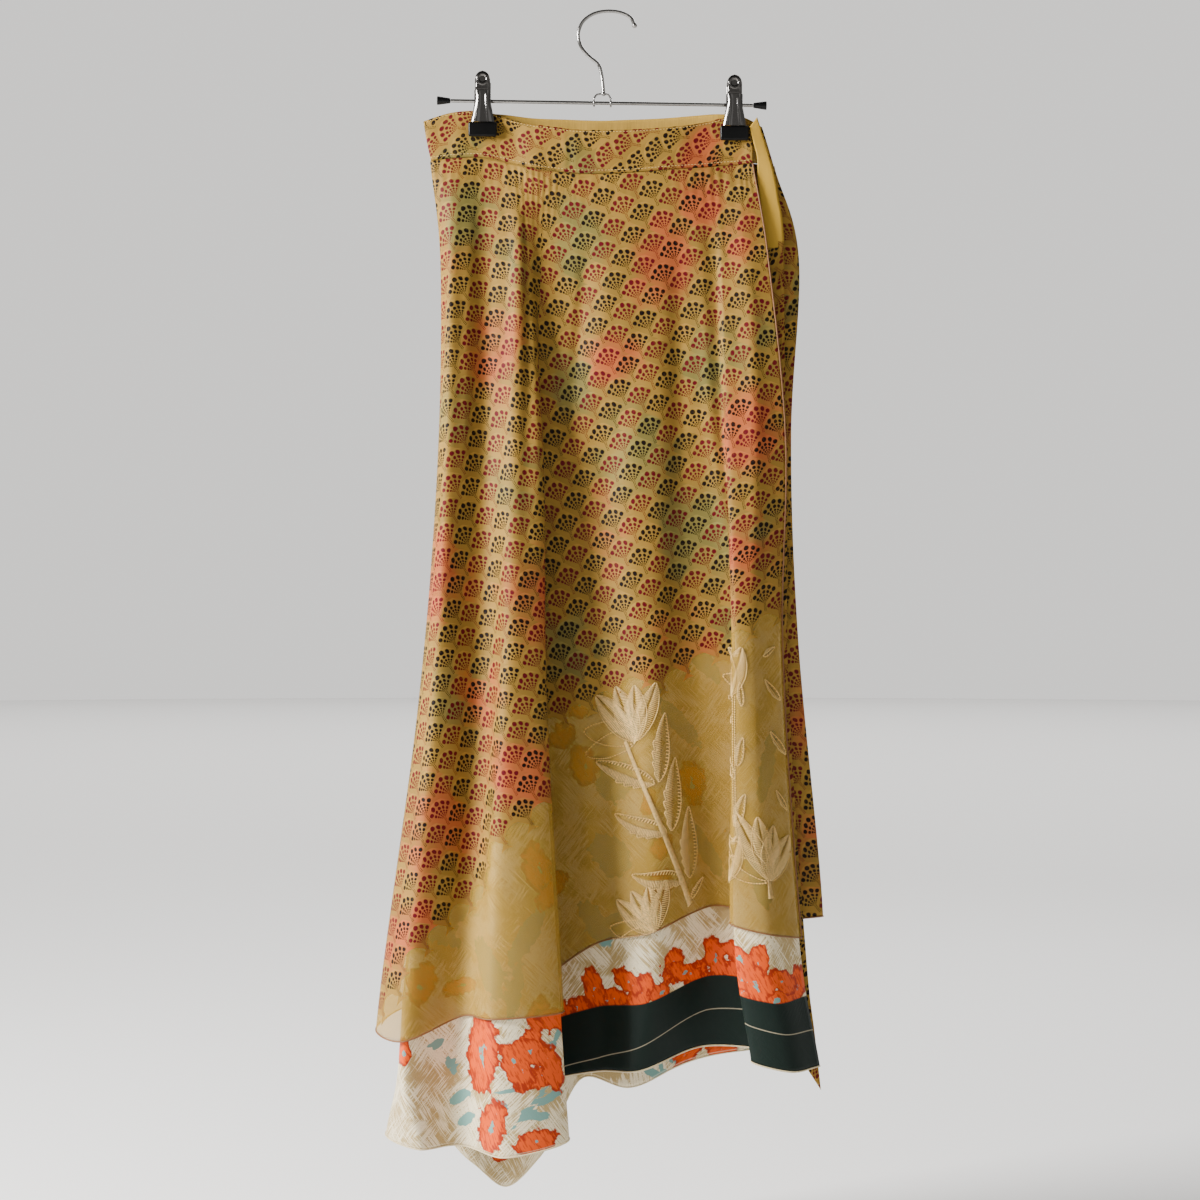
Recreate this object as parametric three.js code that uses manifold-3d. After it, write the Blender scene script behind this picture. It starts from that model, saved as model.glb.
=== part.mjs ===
// Two-layer wrap skirt with waist ties, pressed flat and hung by its waistband from a clip hanger.
// Millimetres. X runs along the hanger, Y points away from the viewer and Z up. The origin is the inside
// of the hook's crown, where the rail touches it. The skirt's back is on the near side, towards -Y.
import * as THREE from "three";
import { mergeVertices } from "three/addons/utils/BufferGeometryUtils.js";
import Module from "manifold-3d";

const wasm = await Module();
wasm.setup();

// Cloth thicknesses and the gaps between pieces
const SEAM_GAP = 0.3;
const LAYER_WALL = 1.2;
const BAND_WALL = 1.8;
const TIE_WALL = 1.6;
const TIE_WIDTH = 22;

// The outer layer lies this far outside the line midway between the layers, the inner layer this far
// inside it at the seam and where both hang free
const OUTER_OFFSET = 0.75;
const INNER_OFFSET = 0.75;
const INNER_OFFSET_FREE = 2.5;

// Where the outer layer's cloth is measured, as a share of its drop from the waist seam to its hem
const SHARE_OF_DROP = { seam: 0, hip: 0.125, thigh: 0.362, knee: 0.635, hem: 1 };
const LEVELS = 5;
const OUTER_HEM_LEVEL = 4;
const INNER_HEM_LEVEL = 5;

// Fineness of the cloth walls
const COLUMNS_PER_FOLD = 3;
const ROWS_PER_LEVEL = 3;
const BAND_ROWS = 2;

// The skirt's fold lines, in order round it: from the free edge, across the back to the left side, across
// the front, round the right side and under the back again. top is the waistband's top edge [x, y, z].
// across and deep are x and y at the seam, hip, thigh, knee, outer hem and inner hem. seam, hem and
// under are the heights of the waist seam, the outer hem and the inner hem. inset, where there is one,
// is how far to the right the inner layer's fold hangs at the outer hem.
const FOLDS = [
  {
    fold: "free edge", top: [138, -2.6, -102], seam: -140.5, hem: -858, under: -976,
    across: [138, 152, 168, 165, 182, 201], deep: [-4.4, -10.5, -10.5, -11, -16, -20],
  },
  {
    fold: "right ridge", top: [126, -1.8, -97], seam: -142, hem: -851, under: -977,
    across: [126, 128, 133, 136, 150, 171], deep: [-2.8, -13, -20, -30, -46, -46],
  },
  {
    fold: "right fold edge", top: [110, -1.7, -98], seam: -143, hem: -842, under: -968,
    across: [110, 111, 114, 120, 116, 132], deep: [-2.6, -10, -17, -28, -40, -40],
  },
  {
    fold: "behind right fold", top: [95, -2.8, -102], seam: -144.5, hem: -838, under: -965,
    across: [95, 100, 108, 133, 141, 154], deep: [-4.4, -7, -9, -9, -9, -9],
  },
  {
    fold: "right valley", top: [63, -7, -107], seam: -147, hem: -830, under: -961,
    across: [63, 67, 75, 84, 101, 94], deep: [-8, -9, -8, -5, 0, 0],
  },
  {
    fold: "middle ridge", top: [19, -9, -110], seam: -150.5, hem: -852, under: -979,
    across: [19, 19, 26, 33, 42, 33], deep: [-9, -13, -18, -22, -30, -30],
  },
  {
    fold: "middle flat", top: [-25, -9, -110], seam: -151, hem: -864, under: -983,
    across: [-25, -22, -13, -8, -6, -7], deep: [-9, -10, -8, -6, -6, -8],
  },
  {
    fold: "behind pleat", top: [-41, -8, -108], seam: -149.5, hem: -904, under: -997,
    across: [-41, -47, -52, -63, -61, -55], deep: [-9, -8, -5, -1, 0, 0],
  },
  {
    fold: "under pleat", top: [-55, -7, -106], seam: -148, hem: -913, under: -1023,
    across: [-55, -59, -66, -73, -66, -59], deep: [-9, -9, -12, -20, -32, -34],
  },
  {
    fold: "pleat edge", top: [-69, -5.5, -104], seam: -145, hem: -919, under: -1034,
    across: [-69, -67, -56, -53, -37, -29], deep: [-8, -14, -28, -42, -60, -64],
  },
  {
    fold: "pleat ridge", top: [-85, -2.6, -100], seam: -141, hem: -923, under: -1047,
    across: [-85, -79, -83, -90, -101, -89], deep: [-4.2, -20, -36, -52, -80, -84],
  },
  {
    fold: "left valley", top: [-111, -1.6, -92], seam: -135.5, hem: -926, under: -1044,
    across: [-111, -110, -111, -118, -129, -133], deep: [-2.4, -10, -18, -26, -40, -44],
  },
  {
    fold: "left ridge", top: [-141, -2.4, -93], seam: -136, hem: -946, under: -1044,
    across: [-141, -142, -145, -157, -183, -168], deep: [-3.6, -20, -32, -44, -62, -64],
  },
  {
    fold: "left side", top: [-168, 0, -101], seam: -138, hem: -941, under: -1037, inset: 21,
    across: [-161, -151, -154, -172, -209, -203], deep: [0, -5, -8, -14, -28, -30],
  },
  {
    fold: "front of left side", top: [-149, 3.8, -95], seam: -137, hem: -929, under: -1029, inset: 19,
    across: [-147, -143, -144, -161, -192, -187], deep: [5, 8, 11, 12, 10, 8],
  },
  {
    fold: "front ridge 1", top: [-127, 2, -94], seam: -134, hem: -925, under: -1047,
    across: [-125, -122, -125, -138, -158, -155], deep: [3.8, 14, 24, 34, 46, 44],
  },
  {
    fold: "front valley 1", top: [-98, 2, -94], seam: -136, hem: -930, under: -1075,
    across: [-98, -100, -104, -112, -126, -124], deep: [3.8, 9, 14, 20, 27, 32],
  },
  {
    fold: "front low fold", top: [-66, 5.5, -97], seam: -141, hem: -925, under: -1100,
    across: [-69, -74, -80, -86, -92, -93], deep: [8, 16, 28, 38, 48, 42],
  },
  {
    fold: "front valley 2", top: [-36, 7, -98], seam: -143, hem: -905, under: -1070,
    across: [-40, -46, -52, -56, -58, -60], deep: [9, 12, 16, 22, 28, 36],
  },
  {
    fold: "front ridge 2", top: [-4, 7, -99], seam: -143, hem: -885, under: -998,
    across: [-4, -10, -14, -16, -16, -20], deep: [9, 16, 26, 36, 46, 46],
  },
  {
    fold: "front valley 3", top: [28, 7, -98], seam: -143, hem: -870, under: -1005,
    across: [26, 24, 22, 22, 24, 24], deep: [9, 12, 14, 18, 24, 34],
  },
  {
    fold: "front ridge 3", top: [56, 6, -97], seam: -142, hem: -858, under: -990,
    across: [52, 54, 56, 60, 66, 64], deep: [8, 16, 26, 36, 48, 46],
  },
  {
    fold: "front valley 4", top: [84, 4, -95], seam: -140, hem: -850, under: -974,
    across: [80, 86, 92, 98, 104, 100], deep: [6, 10, 13, 16, 22, 28],
  },
  {
    fold: "front ridge 4", top: [108, 1.8, -94], seam: -138, hem: -846, under: -969,
    across: [107, 118, 128, 134, 142, 140], deep: [2.8, 11, 19, 26, 34, 34],
  },
  {
    fold: "front of right side", top: [128, 2.2, -96], seam: -139, hem: -843, under: -962,
    across: [132, 156, 154, 162, 182, 178], deep: [3.2, 11, 15, 19, 24, 24],
  },
  {
    fold: "right side", top: [147, 0.3, -106], seam: -142, hem: -841, under: -952,
    across: [158, 181, 174, 181, 204, 197], deep: [1.8, 4, 6, 8, 10, 11],
  },
  {
    fold: "under edge", top: [140.5, -3, -104], seam: -143, hem: -846, under: -955,
    across: [143, 134, 130, 131, 142, 142], deep: [-1.9, -0.6, -0.6, 0, 2, 2],
  },
];
const LAST_FOLD = FOLDS.length - 1;
const foldNumber = (name) => FOLDS.findIndex((row) => row.fold === name);
const LEFT_SIDE = foldNumber("left side");
// The front's inner layer ends short of the right side's turn
const INNER_FRONT_END = foldNumber("front of right side");

// The tie at the back's free end: each row is the left and the right edge of the strip [x, y, z]. It comes
// out of the waistband's end, hangs between the back and the part that wraps under it, and its end is
// cut to a point.
const TIE_EDGES = [
  { left: [135, -6.4, -107], right: [142, -6.4, -98] },
  { left: [138.5, -6.2, -121], right: [147.5, -5.4, -115] },
  { left: [142, -4.6, -135], right: [153, -4.4, -133] },
  { left: [142.5, -4.2, -152], right: [158, -4.3, -150] },
  { left: [144.5, -3.8, -174], right: [162, -4, -172] },
  { left: [145.5, -3.8, -202], right: [166.5, -3.8, -201] },
  { left: [145.4, -3.8, -262], right: [167.4, -3.8, -262] },
  { left: [146, -4, -340], right: [168, -4, -340] },
  { left: [148, -4.2, -450], right: [170, -4.2, -450] },
  { left: [148, -4.5, -580], right: [170, -4.5, -580] },
  { left: [151, -5, -660], right: [173, -5, -660] },
  { left: [156, -5.5, -750], right: [178, -5.5, -750] },
  { left: [162, -6.2, -830], right: [184, -6.2, -830] },
  { left: [168, -7.4, -905], right: [190, -7.4, -905] },
  { left: [173, -8.4, -945], right: [195, -8.4, -945] },
  { left: [179, -9, -966], right: [201, -9, -1000] },
];

// The tie at the under end hangs plainly inside the skirt
const UNDER_TIE = { left: 117, drop: 480, top: -143.6, bottomShift: -10 };
const UNDER_TIE_DEPTH = [0.1, 2.2, 3, 3.4];

// The hanger's rod, of round wire, with a black cone on each end
const ROD = { radius: 1.75, left: -142.5, right: 138.5, heightAtLeft: -81.6, heightAtRight: -85.9 };
const ROD_TIP = { length: 12.4, innerRadius: 2.4, outerRadius: 4.2 };
// The hook, of the same wire: its middle line from the tip over the crown and down to the bridge
const HOOK_WIRE = 1.75;
const HOOK_LINE = [
  [28.5, -11.5], [25, -4.6], [16, 0.3], [2, 1.75], [-11, -1.3], [-20.4, -9], [-23.8, -19.5],
  [-21.4, -31], [-13.6, -40.6], [-5.2, -47.8], [-2.4, -56], [-1, -66], [-0.3, -74.4],
];
const HOOK_BALL = 2.5;
// The bridge that carries the hook on the rod: a bent wire with an eye on each leg
const BRIDGE = { top: -74.7, bar: 2, barLeft: -7.4, barRight: 5, legLeft: -9.2, legRight: 6.4, depth: 2.6 };
const EYE = { clearance: 0.3, outerRadius: 4, width: 2.2 };

// The two clips: a near and a far jaw turning on the rod, each with a black grip over its end. The far
// jaw's ears fit inside the near jaw's. A grip's inner face lies so far from the middle plane.
const CLIPS = [
  { side: "left", x: -112.6 },
  { side: "right", x: 121 },
];
const JAW = {
  sheet: 1.2, headRadius: 7.2, aboveRod: 26.5, belowRod: 20.2, footWidth: 22.4, topDepth: 9, footDepth: 6.6,
};
const EAR = { sheet: 1, top: 9, bottom: 8, reach: 3, nearAt: 7.2, farAt: 5.9 };
const GRIP = { width: 26.5, height: 13.4, depth: 4.8, corner: 2, innerFace: 3.9 };
const SPRING = { innerGap: 0.3, outerRadius: 3.4, length: 9 };
const RING_SIDES = 16;

// Colours, roughness and metalness
const PRINTED_SILK = { color: 0xb08a55, roughness: 0.6, metalness: 0 };
const IVORY_SILK = { color: 0xd9c6a4, roughness: 0.5, metalness: 0 };
const GOLD_SILK = { color: 0xb9964a, roughness: 0.55, metalness: 0 };
const CHROME = { color: 0xc8c8c8, roughness: 0.15, metalness: 1 };
const BLACK_RUBBER = { color: 0x111111, roughness: 0.5, metalness: 0 };

const part = new THREE.Group();

function addPiece(name, geometry, finish) {
  const piece = new THREE.Mesh(geometry, new THREE.MeshStandardMaterial(finish));
  piece.name = name;
  part.add(piece);
  return piece;
}

// One fold line in space, from the waist seam down to the inner hem
function foldLine(row, isInner) {
  const heights = Object.values(SHARE_OF_DROP).map((share) => row.seam + share * (row.hem - row.seam));
  heights.push(row.under);
  const points = heights.map((z, level) => new THREE.Vector3(row.across[level], row.deep[level], z));
  if (isInner && row.inset) points[OUTER_HEM_LEVEL].x += row.inset;
  return new THREE.CatmullRomCurve3(points, false, "catmullrom");
}

const OUTER_LAYER = {
  lines: FOLDS.map((row) => foldLine(row, false)),
  hemLevel: OUTER_HEM_LEVEL,
  offset: () => OUTER_OFFSET,
};
const INNER_LAYER = {
  lines: FOLDS.map((row) => foldLine(row, true)),
  hemLevel: INNER_HEM_LEVEL,
  offset: (level) => -(INNER_OFFSET + (INNER_OFFSET_FREE - INNER_OFFSET) * Math.min(1, level / 2)),
};
const BAND_TOP = new THREE.CatmullRomCurve3(
  FOLDS.map((row) => new THREE.Vector3(...row.top)), false, "centripetal",
);

// A layer's section at a level: the smooth line through all its folds there
function sectionAt(layer, level) {
  const points = layer.lines.map((line) => line.getPoint(level / LEVELS));
  return new THREE.CatmullRomCurve3(points, false, "centripetal");
}

// A place on a section: the point, the way along the section and the way out of the skirt
function placeOn(section, fold) {
  const step = 0.04;
  const at = section.getPoint(fold / LAST_FOLD);
  const ahead = section.getPoint(Math.min(fold + step, LAST_FOLD) / LAST_FOLD);
  const behind = section.getPoint(Math.max(fold - step, 0) / LAST_FOLD);
  const along = ahead.sub(behind).setZ(0).normalize();
  return { at, along, out: new THREE.Vector3(-along.y, along.x, 0) };
}

// At the left side seam the back and the front stop half a seam gap short of each other
function clearOfSideSeam(place, fold, isBack) {
  if (Math.abs(fold - LEFT_SIDE) > 1e-6) return place;
  place.at.addScaledVector(place.along, (isBack ? -0.5 : 0.5) * SEAM_GAP);
  return place;
}

// A closed wall round a grid of places, each with its middle point and its outward direction.
// Rows run down, and columns run clockwise as seen from above.
function wallGeometry(grid, thickness) {
  const rows = grid.length - 1;
  const columns = grid[0].length - 1;
  const points = [];
  for (const side of [0.5, -0.5]) {
    for (const row of grid) {
      for (const { at, out } of row) {
        points.push(...at.clone().addScaledVector(out, side * thickness).toArray());
      }
    }
  }
  const perSkin = (rows + 1) * (columns + 1);
  const outer = (row, column) => row * (columns + 1) + column;
  const inner = (row, column) => perSkin + outer(row, column);
  const faces = [];
  const quad = (a, b, c, d) => faces.push(a, b, c, a, c, d);
  for (let row = 0; row < rows; row++) {
    for (let column = 0; column < columns; column++) {
      quad(outer(row, column), outer(row, column + 1), outer(row + 1, column + 1), outer(row + 1, column));
      quad(inner(row, column), inner(row + 1, column), inner(row + 1, column + 1), inner(row, column + 1));
    }
    quad(outer(row, 0), outer(row + 1, 0), inner(row + 1, 0), inner(row, 0));
    quad(outer(row + 1, columns), outer(row, columns), inner(row, columns), inner(row + 1, columns));
  }
  for (let column = 0; column < columns; column++) {
    quad(outer(0, column + 1), outer(0, column), inner(0, column), inner(0, column + 1));
    quad(outer(rows, column), outer(rows, column + 1), inner(rows, column + 1), inner(rows, column));
  }
  return new THREE.BufferGeometry()
    .setAttribute("position", new THREE.Float32BufferAttribute(points, 3))
    .setIndex(faces);
}

// Evenly spaced stops from one place on a scale to another, about so many to each unit
function stops(from, to, perUnit) {
  const count = Math.round((to - from) * perUnit);
  return Array.from({ length: count + 1 }, (_, i) => from + ((to - from) * i) / count);
}

// One panel of a layer, between two folds, from the waist seam down to the layer's hem
function panelGeometry(layer, fromFold, toFold) {
  const isBack = fromFold < LEFT_SIDE;
  const grid = stops(0, layer.hemLevel, ROWS_PER_LEVEL).map((level) => {
    const section = sectionAt(layer, level);
    return stops(fromFold, toFold, COLUMNS_PER_FOLD).map((fold) => {
      const place = clearOfSideSeam(placeOn(section, fold), fold, isBack);
      place.at.addScaledVector(place.out, layer.offset(level));
      return place;
    });
  });
  return wallGeometry(grid, LAYER_WALL);
}

// One length of waistband, between two folds, from its top edge down to the waist seam
function bandGeometry(fromFold, toFold) {
  const isBack = fromFold < LEFT_SIDE;
  const foot = sectionAt(OUTER_LAYER, 0);
  const grid = stops(0, 1, BAND_ROWS).map((share) =>
    stops(fromFold, toFold, COLUMNS_PER_FOLD).map((fold) => {
      const place = clearOfSideSeam(placeOn(BAND_TOP, fold), fold, isBack);
      const below = clearOfSideSeam(placeOn(foot, fold), fold, isBack);
      below.at.z += SEAM_GAP;
      place.at.lerp(below.at, share);
      place.out.lerp(below.out, share).normalize();
      return place;
    }),
  );
  return wallGeometry(grid, BAND_WALL);
}

// A flat strip between a left and a right edge, each a smooth line, facing the viewer
function stripGeometry(leftPoints, rightPoints, rows, thickness) {
  const left = new THREE.CatmullRomCurve3(leftPoints);
  const right = new THREE.CatmullRomCurve3(rightPoints);
  const down = new THREE.Vector3(0, 0, -1);
  const grid = stops(0, 1, rows).map((share) => {
    const a = right.getPoint(share);
    const b = left.getPoint(share);
    const out = b.clone().sub(a).cross(down).setZ(0).normalize();
    return [0, 0.5, 1].map((across) => ({ at: a.clone().lerp(b, across), out }));
  });
  return wallGeometry(grid, thickness);
}

// A mesh's geometry as a solid that can be joined to others
function solidOf(geometry) {
  const bare = geometry.clone();
  bare.deleteAttribute("normal");
  bare.deleteAttribute("uv");
  const merged = mergeVertices(bare, 1e-4);
  return new wasm.Manifold(new wasm.Mesh({
    numProp: 3,
    vertProperties: merged.attributes.position.array,
    triVerts: new Uint32Array(merged.index.array),
  }));
}

// Several overlapping geometries joined into one closed body
function joined(geometries) {
  const whole = geometries.map(solidOf).reduce((sum, solid) => sum.add(solid));
  const mesh = whole.getMesh();
  return new THREE.BufferGeometry()
    .setAttribute("position", new THREE.Float32BufferAttribute(mesh.vertProperties, 3))
    .setIndex([...mesh.triVerts]);
}

function addWaistband() {
  addPiece("waistband_back", bandGeometry(0, LEFT_SIDE), PRINTED_SILK);
  addPiece("waistband_front", bandGeometry(LEFT_SIDE, LAST_FOLD), PRINTED_SILK);
}

function addPanels() {
  addPiece("outer_back", panelGeometry(OUTER_LAYER, 0, LEFT_SIDE), PRINTED_SILK);
  addPiece("outer_front", panelGeometry(OUTER_LAYER, LEFT_SIDE, LAST_FOLD), PRINTED_SILK);
  addPiece("inner_back", panelGeometry(INNER_LAYER, 0, LEFT_SIDE), IVORY_SILK);
  addPiece("inner_front", panelGeometry(INNER_LAYER, LEFT_SIDE, INNER_FRONT_END), IVORY_SILK);
}

function addTies() {
  const tieRows = 36;
  const point = (place) => new THREE.Vector3(...place);
  addPiece("tie_free_end", stripGeometry(
    TIE_EDGES.map((row) => point(row.left)), TIE_EDGES.map((row) => point(row.right)), tieRows, TIE_WALL,
  ), GOLD_SILK);

  const underTieRows = 9;
  const edge = (x) => UNDER_TIE_DEPTH.map((y, i) => {
    const share = i / (UNDER_TIE_DEPTH.length - 1);
    return point([x + share * UNDER_TIE.bottomShift, y, UNDER_TIE.top - share * UNDER_TIE.drop]);
  });
  addPiece("tie_under_end", stripGeometry(
    edge(UNDER_TIE.left), edge(UNDER_TIE.left + TIE_WIDTH), underTieRows, TIE_WALL,
  ), GOLD_SILK);
}

// The rod's height where it passes a place along it
function rodHeight(x) {
  const share = (x - ROD.left) / (ROD.right - ROD.left);
  return ROD.heightAtLeft + share * (ROD.heightAtRight - ROD.heightAtLeft);
}

const ROD_TILT = Math.atan2(ROD.heightAtRight - ROD.heightAtLeft, ROD.right - ROD.left);

// Places a geometry made along Y so that it runs along the rod, with its middle at x
function alongRod(piece, x) {
  piece.rotation.z = -Math.PI / 2;
  const holder = new THREE.Group();
  holder.rotation.y = -ROD_TILT;
  holder.position.set(x, 0, rodHeight(x));
  holder.add(piece);
  part.add(holder);
}

function addRod() {
  const sides = 12;
  const length = Math.hypot(ROD.right - ROD.left, ROD.heightAtRight - ROD.heightAtLeft);
  const rod = new THREE.CylinderGeometry(ROD.radius, ROD.radius, length, sides);
  alongRod(addPiece("hanger_rod", rod, CHROME), (ROD.left + ROD.right) / 2);

  for (const [name, end, way] of [["rod_tip_left", ROD.left, -1], ["rod_tip_right", ROD.right, 1]]) {
    const [atTop, atFoot] = way > 0
      ? [ROD_TIP.outerRadius, ROD_TIP.innerRadius] : [ROD_TIP.innerRadius, ROD_TIP.outerRadius];
    const tip = new THREE.CylinderGeometry(atTop, atFoot, ROD_TIP.length, 2 * sides);
    alongRod(addPiece(name, tip, BLACK_RUBBER), end + way * (SEAM_GAP + ROD_TIP.length / 2));
  }
}

function addHook() {
  const steps = 44;
  const halfTurnSides = 4;
  const line = new THREE.CatmullRomCurve3(HOOK_LINE.map(([x, z]) => new THREE.Vector3(x, 0, z)));
  const round = new THREE.Shape().absarc(0, 0, HOOK_WIRE, 0, 2 * Math.PI);
  const wire = new THREE.ExtrudeGeometry(round, {
    extrudePath: line, steps, curveSegments: halfTurnSides, bevelEnabled: false,
  });
  const ball = new THREE.SphereGeometry(HOOK_BALL, 10, 6);
  ball.translate(HOOK_LINE[0][0], 0, HOOK_LINE[0][1]);
  addPiece("hook", joined([wire, ball]), CHROME);
}

// A ring round the X axis, as on a wire's eye or a spring
function ringGeometry(innerRadius, outerRadius, width) {
  const half = width / 2;
  const profile = [
    [innerRadius, -half], [outerRadius, -half], [outerRadius, half], [innerRadius, half],
    [innerRadius, -half],
  ];
  const ring = new THREE.LatheGeometry(profile.map(([r, y]) => new THREE.Vector2(r, y)), RING_SIDES);
  return ring.rotateZ(-Math.PI / 2);
}

// An outline in X and Z, given as a shape, thickened along Y and centred on y
function plate(shape, thickness, y) {
  const sheet = new THREE.ExtrudeGeometry(shape, { depth: thickness, bevelEnabled: false, curveSegments: 8 });
  return sheet.rotateX(Math.PI / 2).translate(0, y + thickness / 2, 0);
}

function addBridge() {
  const { top, bar, barLeft, barRight, legLeft, legRight, depth } = BRIDGE;
  const underBar = top - bar;
  const legFoot = (x) => rodHeight(x) + (ROD.radius + EYE.outerRadius) / 2;
  const bent = new THREE.Shape([
    [barLeft, top], [barRight, top], [legRight + bar / 2, legFoot(legRight)],
    [legRight - bar / 2, legFoot(legRight)], [barRight - bar / 2, underBar], [barLeft + bar / 2, underBar],
    [legLeft + bar / 2, legFoot(legLeft)], [legLeft - bar / 2, legFoot(legLeft)],
  ].map(([x, z]) => new THREE.Vector2(x, z)));
  const eyes = [legLeft, legRight].map((x) => {
    const eye = ringGeometry(ROD.radius + EYE.clearance, EYE.outerRadius, EYE.width);
    return eye.rotateY(-ROD_TILT).translate(x, 0, rodHeight(x));
  });
  addPiece("hook_bridge", joined([plate(bent, depth, 0), ...eyes]), CHROME);
}

// A jaw's face: a round head over a blade that widens to its foot, with z measured from the rod
function jawOutline() {
  const { headRadius, aboveRod, belowRod, footWidth } = JAW;
  const headCentre = aboveRod - headRadius;
  const face = new THREE.Shape();
  face.moveTo(-footWidth / 2, -belowRod);
  face.lineTo(footWidth / 2, -belowRod);
  face.lineTo(headRadius, 0);
  face.lineTo(headRadius, headCentre);
  face.absarc(0, headCentre, headRadius, 0, Math.PI, false);
  face.lineTo(-headRadius, 0);
  return face;
}

// A jaw's ear: a fin in Y and Z from the blade to just past the rod, with the rod's hole in it
function earGeometry(x, bladeDepth) {
  const { sheet, top, bottom, reach } = EAR;
  const fin = new THREE.Shape([
    [-bladeDepth, top], [-bladeDepth, -bottom], [reach, -reach], [reach, reach],
  ].map(([y, z]) => new THREE.Vector2(y, z)));
  const hole = new THREE.Path().absarc(0, 0, ROD.radius + SEAM_GAP, 0, 2 * Math.PI, true);
  fin.holes.push(hole);
  const ear = new THREE.ExtrudeGeometry(fin, { depth: sheet, bevelEnabled: false, curveSegments: 10 });
  // The outline's own axes turn from X and Y to Y and Z
  const turn = new THREE.Matrix4().makeBasis(
    new THREE.Vector3(0, 1, 0), new THREE.Vector3(0, 0, 1), new THREE.Vector3(1, 0, 0),
  );
  return ear.applyMatrix4(turn).translate(x - sheet / 2, 0, 0);
}

// The near jaw of a clip about the rod's centre; the far one is turned half round
function jawGeometry(earAt) {
  const { aboveRod, belowRod, topDepth, footDepth, sheet } = JAW;
  const slope = (topDepth - footDepth) / (aboveRod + belowRod);
  const depthAtRod = footDepth + slope * belowRod;
  const blade = plate(jawOutline(), sheet, 0).rotateX(Math.atan(slope)).translate(0, -depthAtRod, 0);
  const intoBlade = sheet / 4;
  const ears = [-earAt, earAt].map((x) => earGeometry(x, depthAtRod - intoBlade));
  return joined([blade, ...ears]);
}

// A grip: a block with rounded upright corners over the end of a jaw
function gripGeometry() {
  const { width, height, depth, corner } = GRIP;
  const [halfWidth, halfDepth] = [width / 2, depth / 2];
  const block = new THREE.Shape();
  block.moveTo(-halfWidth, halfDepth);
  block.lineTo(-halfWidth, -halfDepth + corner);
  block.quadraticCurveTo(-halfWidth, -halfDepth, -halfWidth + corner, -halfDepth);
  block.lineTo(halfWidth - corner, -halfDepth);
  block.quadraticCurveTo(halfWidth, -halfDepth, halfWidth, -halfDepth + corner);
  block.lineTo(halfWidth, halfDepth);
  const grip = new THREE.ExtrudeGeometry(block, { depth: height, bevelEnabled: false, curveSegments: 3 });
  return grip.translate(0, 0, -height);
}

function addClip({ side, x }) {
  const z = rodHeight(x);
  const faces = [
    { face: "near", turn: 0, way: -1, earAt: EAR.nearAt },
    { face: "far", turn: Math.PI, way: 1, earAt: EAR.farAt },
  ];
  for (const { face, turn, way, earAt } of faces) {
    const jaw = addPiece(`clip_${side}_${face}_jaw`, jawGeometry(earAt), CHROME);
    jaw.rotation.z = turn;
    jaw.position.set(x, 0, z);

    const grip = addPiece(`clip_${side}_${face}_grip`, gripGeometry(), BLACK_RUBBER);
    grip.rotation.z = turn;
    grip.position.set(x, way * (GRIP.innerFace + GRIP.depth / 2), z - JAW.belowRod - SEAM_GAP);
  }
  const spring = ringGeometry(ROD.radius + SPRING.innerGap, SPRING.outerRadius, SPRING.length);
  addPiece(`clip_${side}_spring`, spring.rotateY(-ROD_TILT).translate(x, 0, z), CHROME);
}

addWaistband();
addPanels();
addTies();
addRod();
addHook();
addBridge();
CLIPS.forEach(addClip);

export default part;
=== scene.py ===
import math
from collections import namedtuple

import bpy
import numpy as np
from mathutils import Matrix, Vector


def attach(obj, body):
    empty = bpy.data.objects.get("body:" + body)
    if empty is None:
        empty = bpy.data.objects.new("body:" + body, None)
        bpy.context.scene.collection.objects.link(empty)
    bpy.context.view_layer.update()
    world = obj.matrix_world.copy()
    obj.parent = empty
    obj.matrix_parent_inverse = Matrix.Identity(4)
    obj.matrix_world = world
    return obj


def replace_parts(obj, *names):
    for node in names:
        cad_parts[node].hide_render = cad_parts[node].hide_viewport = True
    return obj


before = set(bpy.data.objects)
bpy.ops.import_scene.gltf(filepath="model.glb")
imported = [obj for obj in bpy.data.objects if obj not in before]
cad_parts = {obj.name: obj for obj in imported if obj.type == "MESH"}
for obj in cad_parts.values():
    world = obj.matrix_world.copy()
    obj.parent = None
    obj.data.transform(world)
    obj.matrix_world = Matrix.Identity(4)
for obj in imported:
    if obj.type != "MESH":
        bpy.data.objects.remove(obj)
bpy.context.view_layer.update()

bl_info = {
    "name": "Wrap Skirt on a Clip Hanger",
    "version": (1, 0, 0),
    "blender": (4, 5, 0),
    "location": "View3D > Sidebar > Skirt",
    "description": "Dresses a layered wrap skirt and the clip hanger that holds it",
    "category": "Object",
}

# Tables and sizes are in millimetres; meshes are in metres.
MM = 0.001

# The kinds of shader node that the materials use
MATH, VECTOR, MIX, RANGE = "ShaderNodeMath", "ShaderNodeVectorMath", "ShaderNodeMix", "ShaderNodeMapRange"
NOISE, MAPPING, BUMP = "ShaderNodeTexNoise", "ShaderNodeMapping", "ShaderNodeBump"
SPLIT, JOIN, COORDINATES = "ShaderNodeSeparateXYZ", "ShaderNodeCombineXYZ", "ShaderNodeTexCoord"
ATTRIBUTE, UV_MAP, SURFACE = "ShaderNodeAttribute", "ShaderNodeUVMap", "ShaderNodeBsdfPrincipled"

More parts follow.
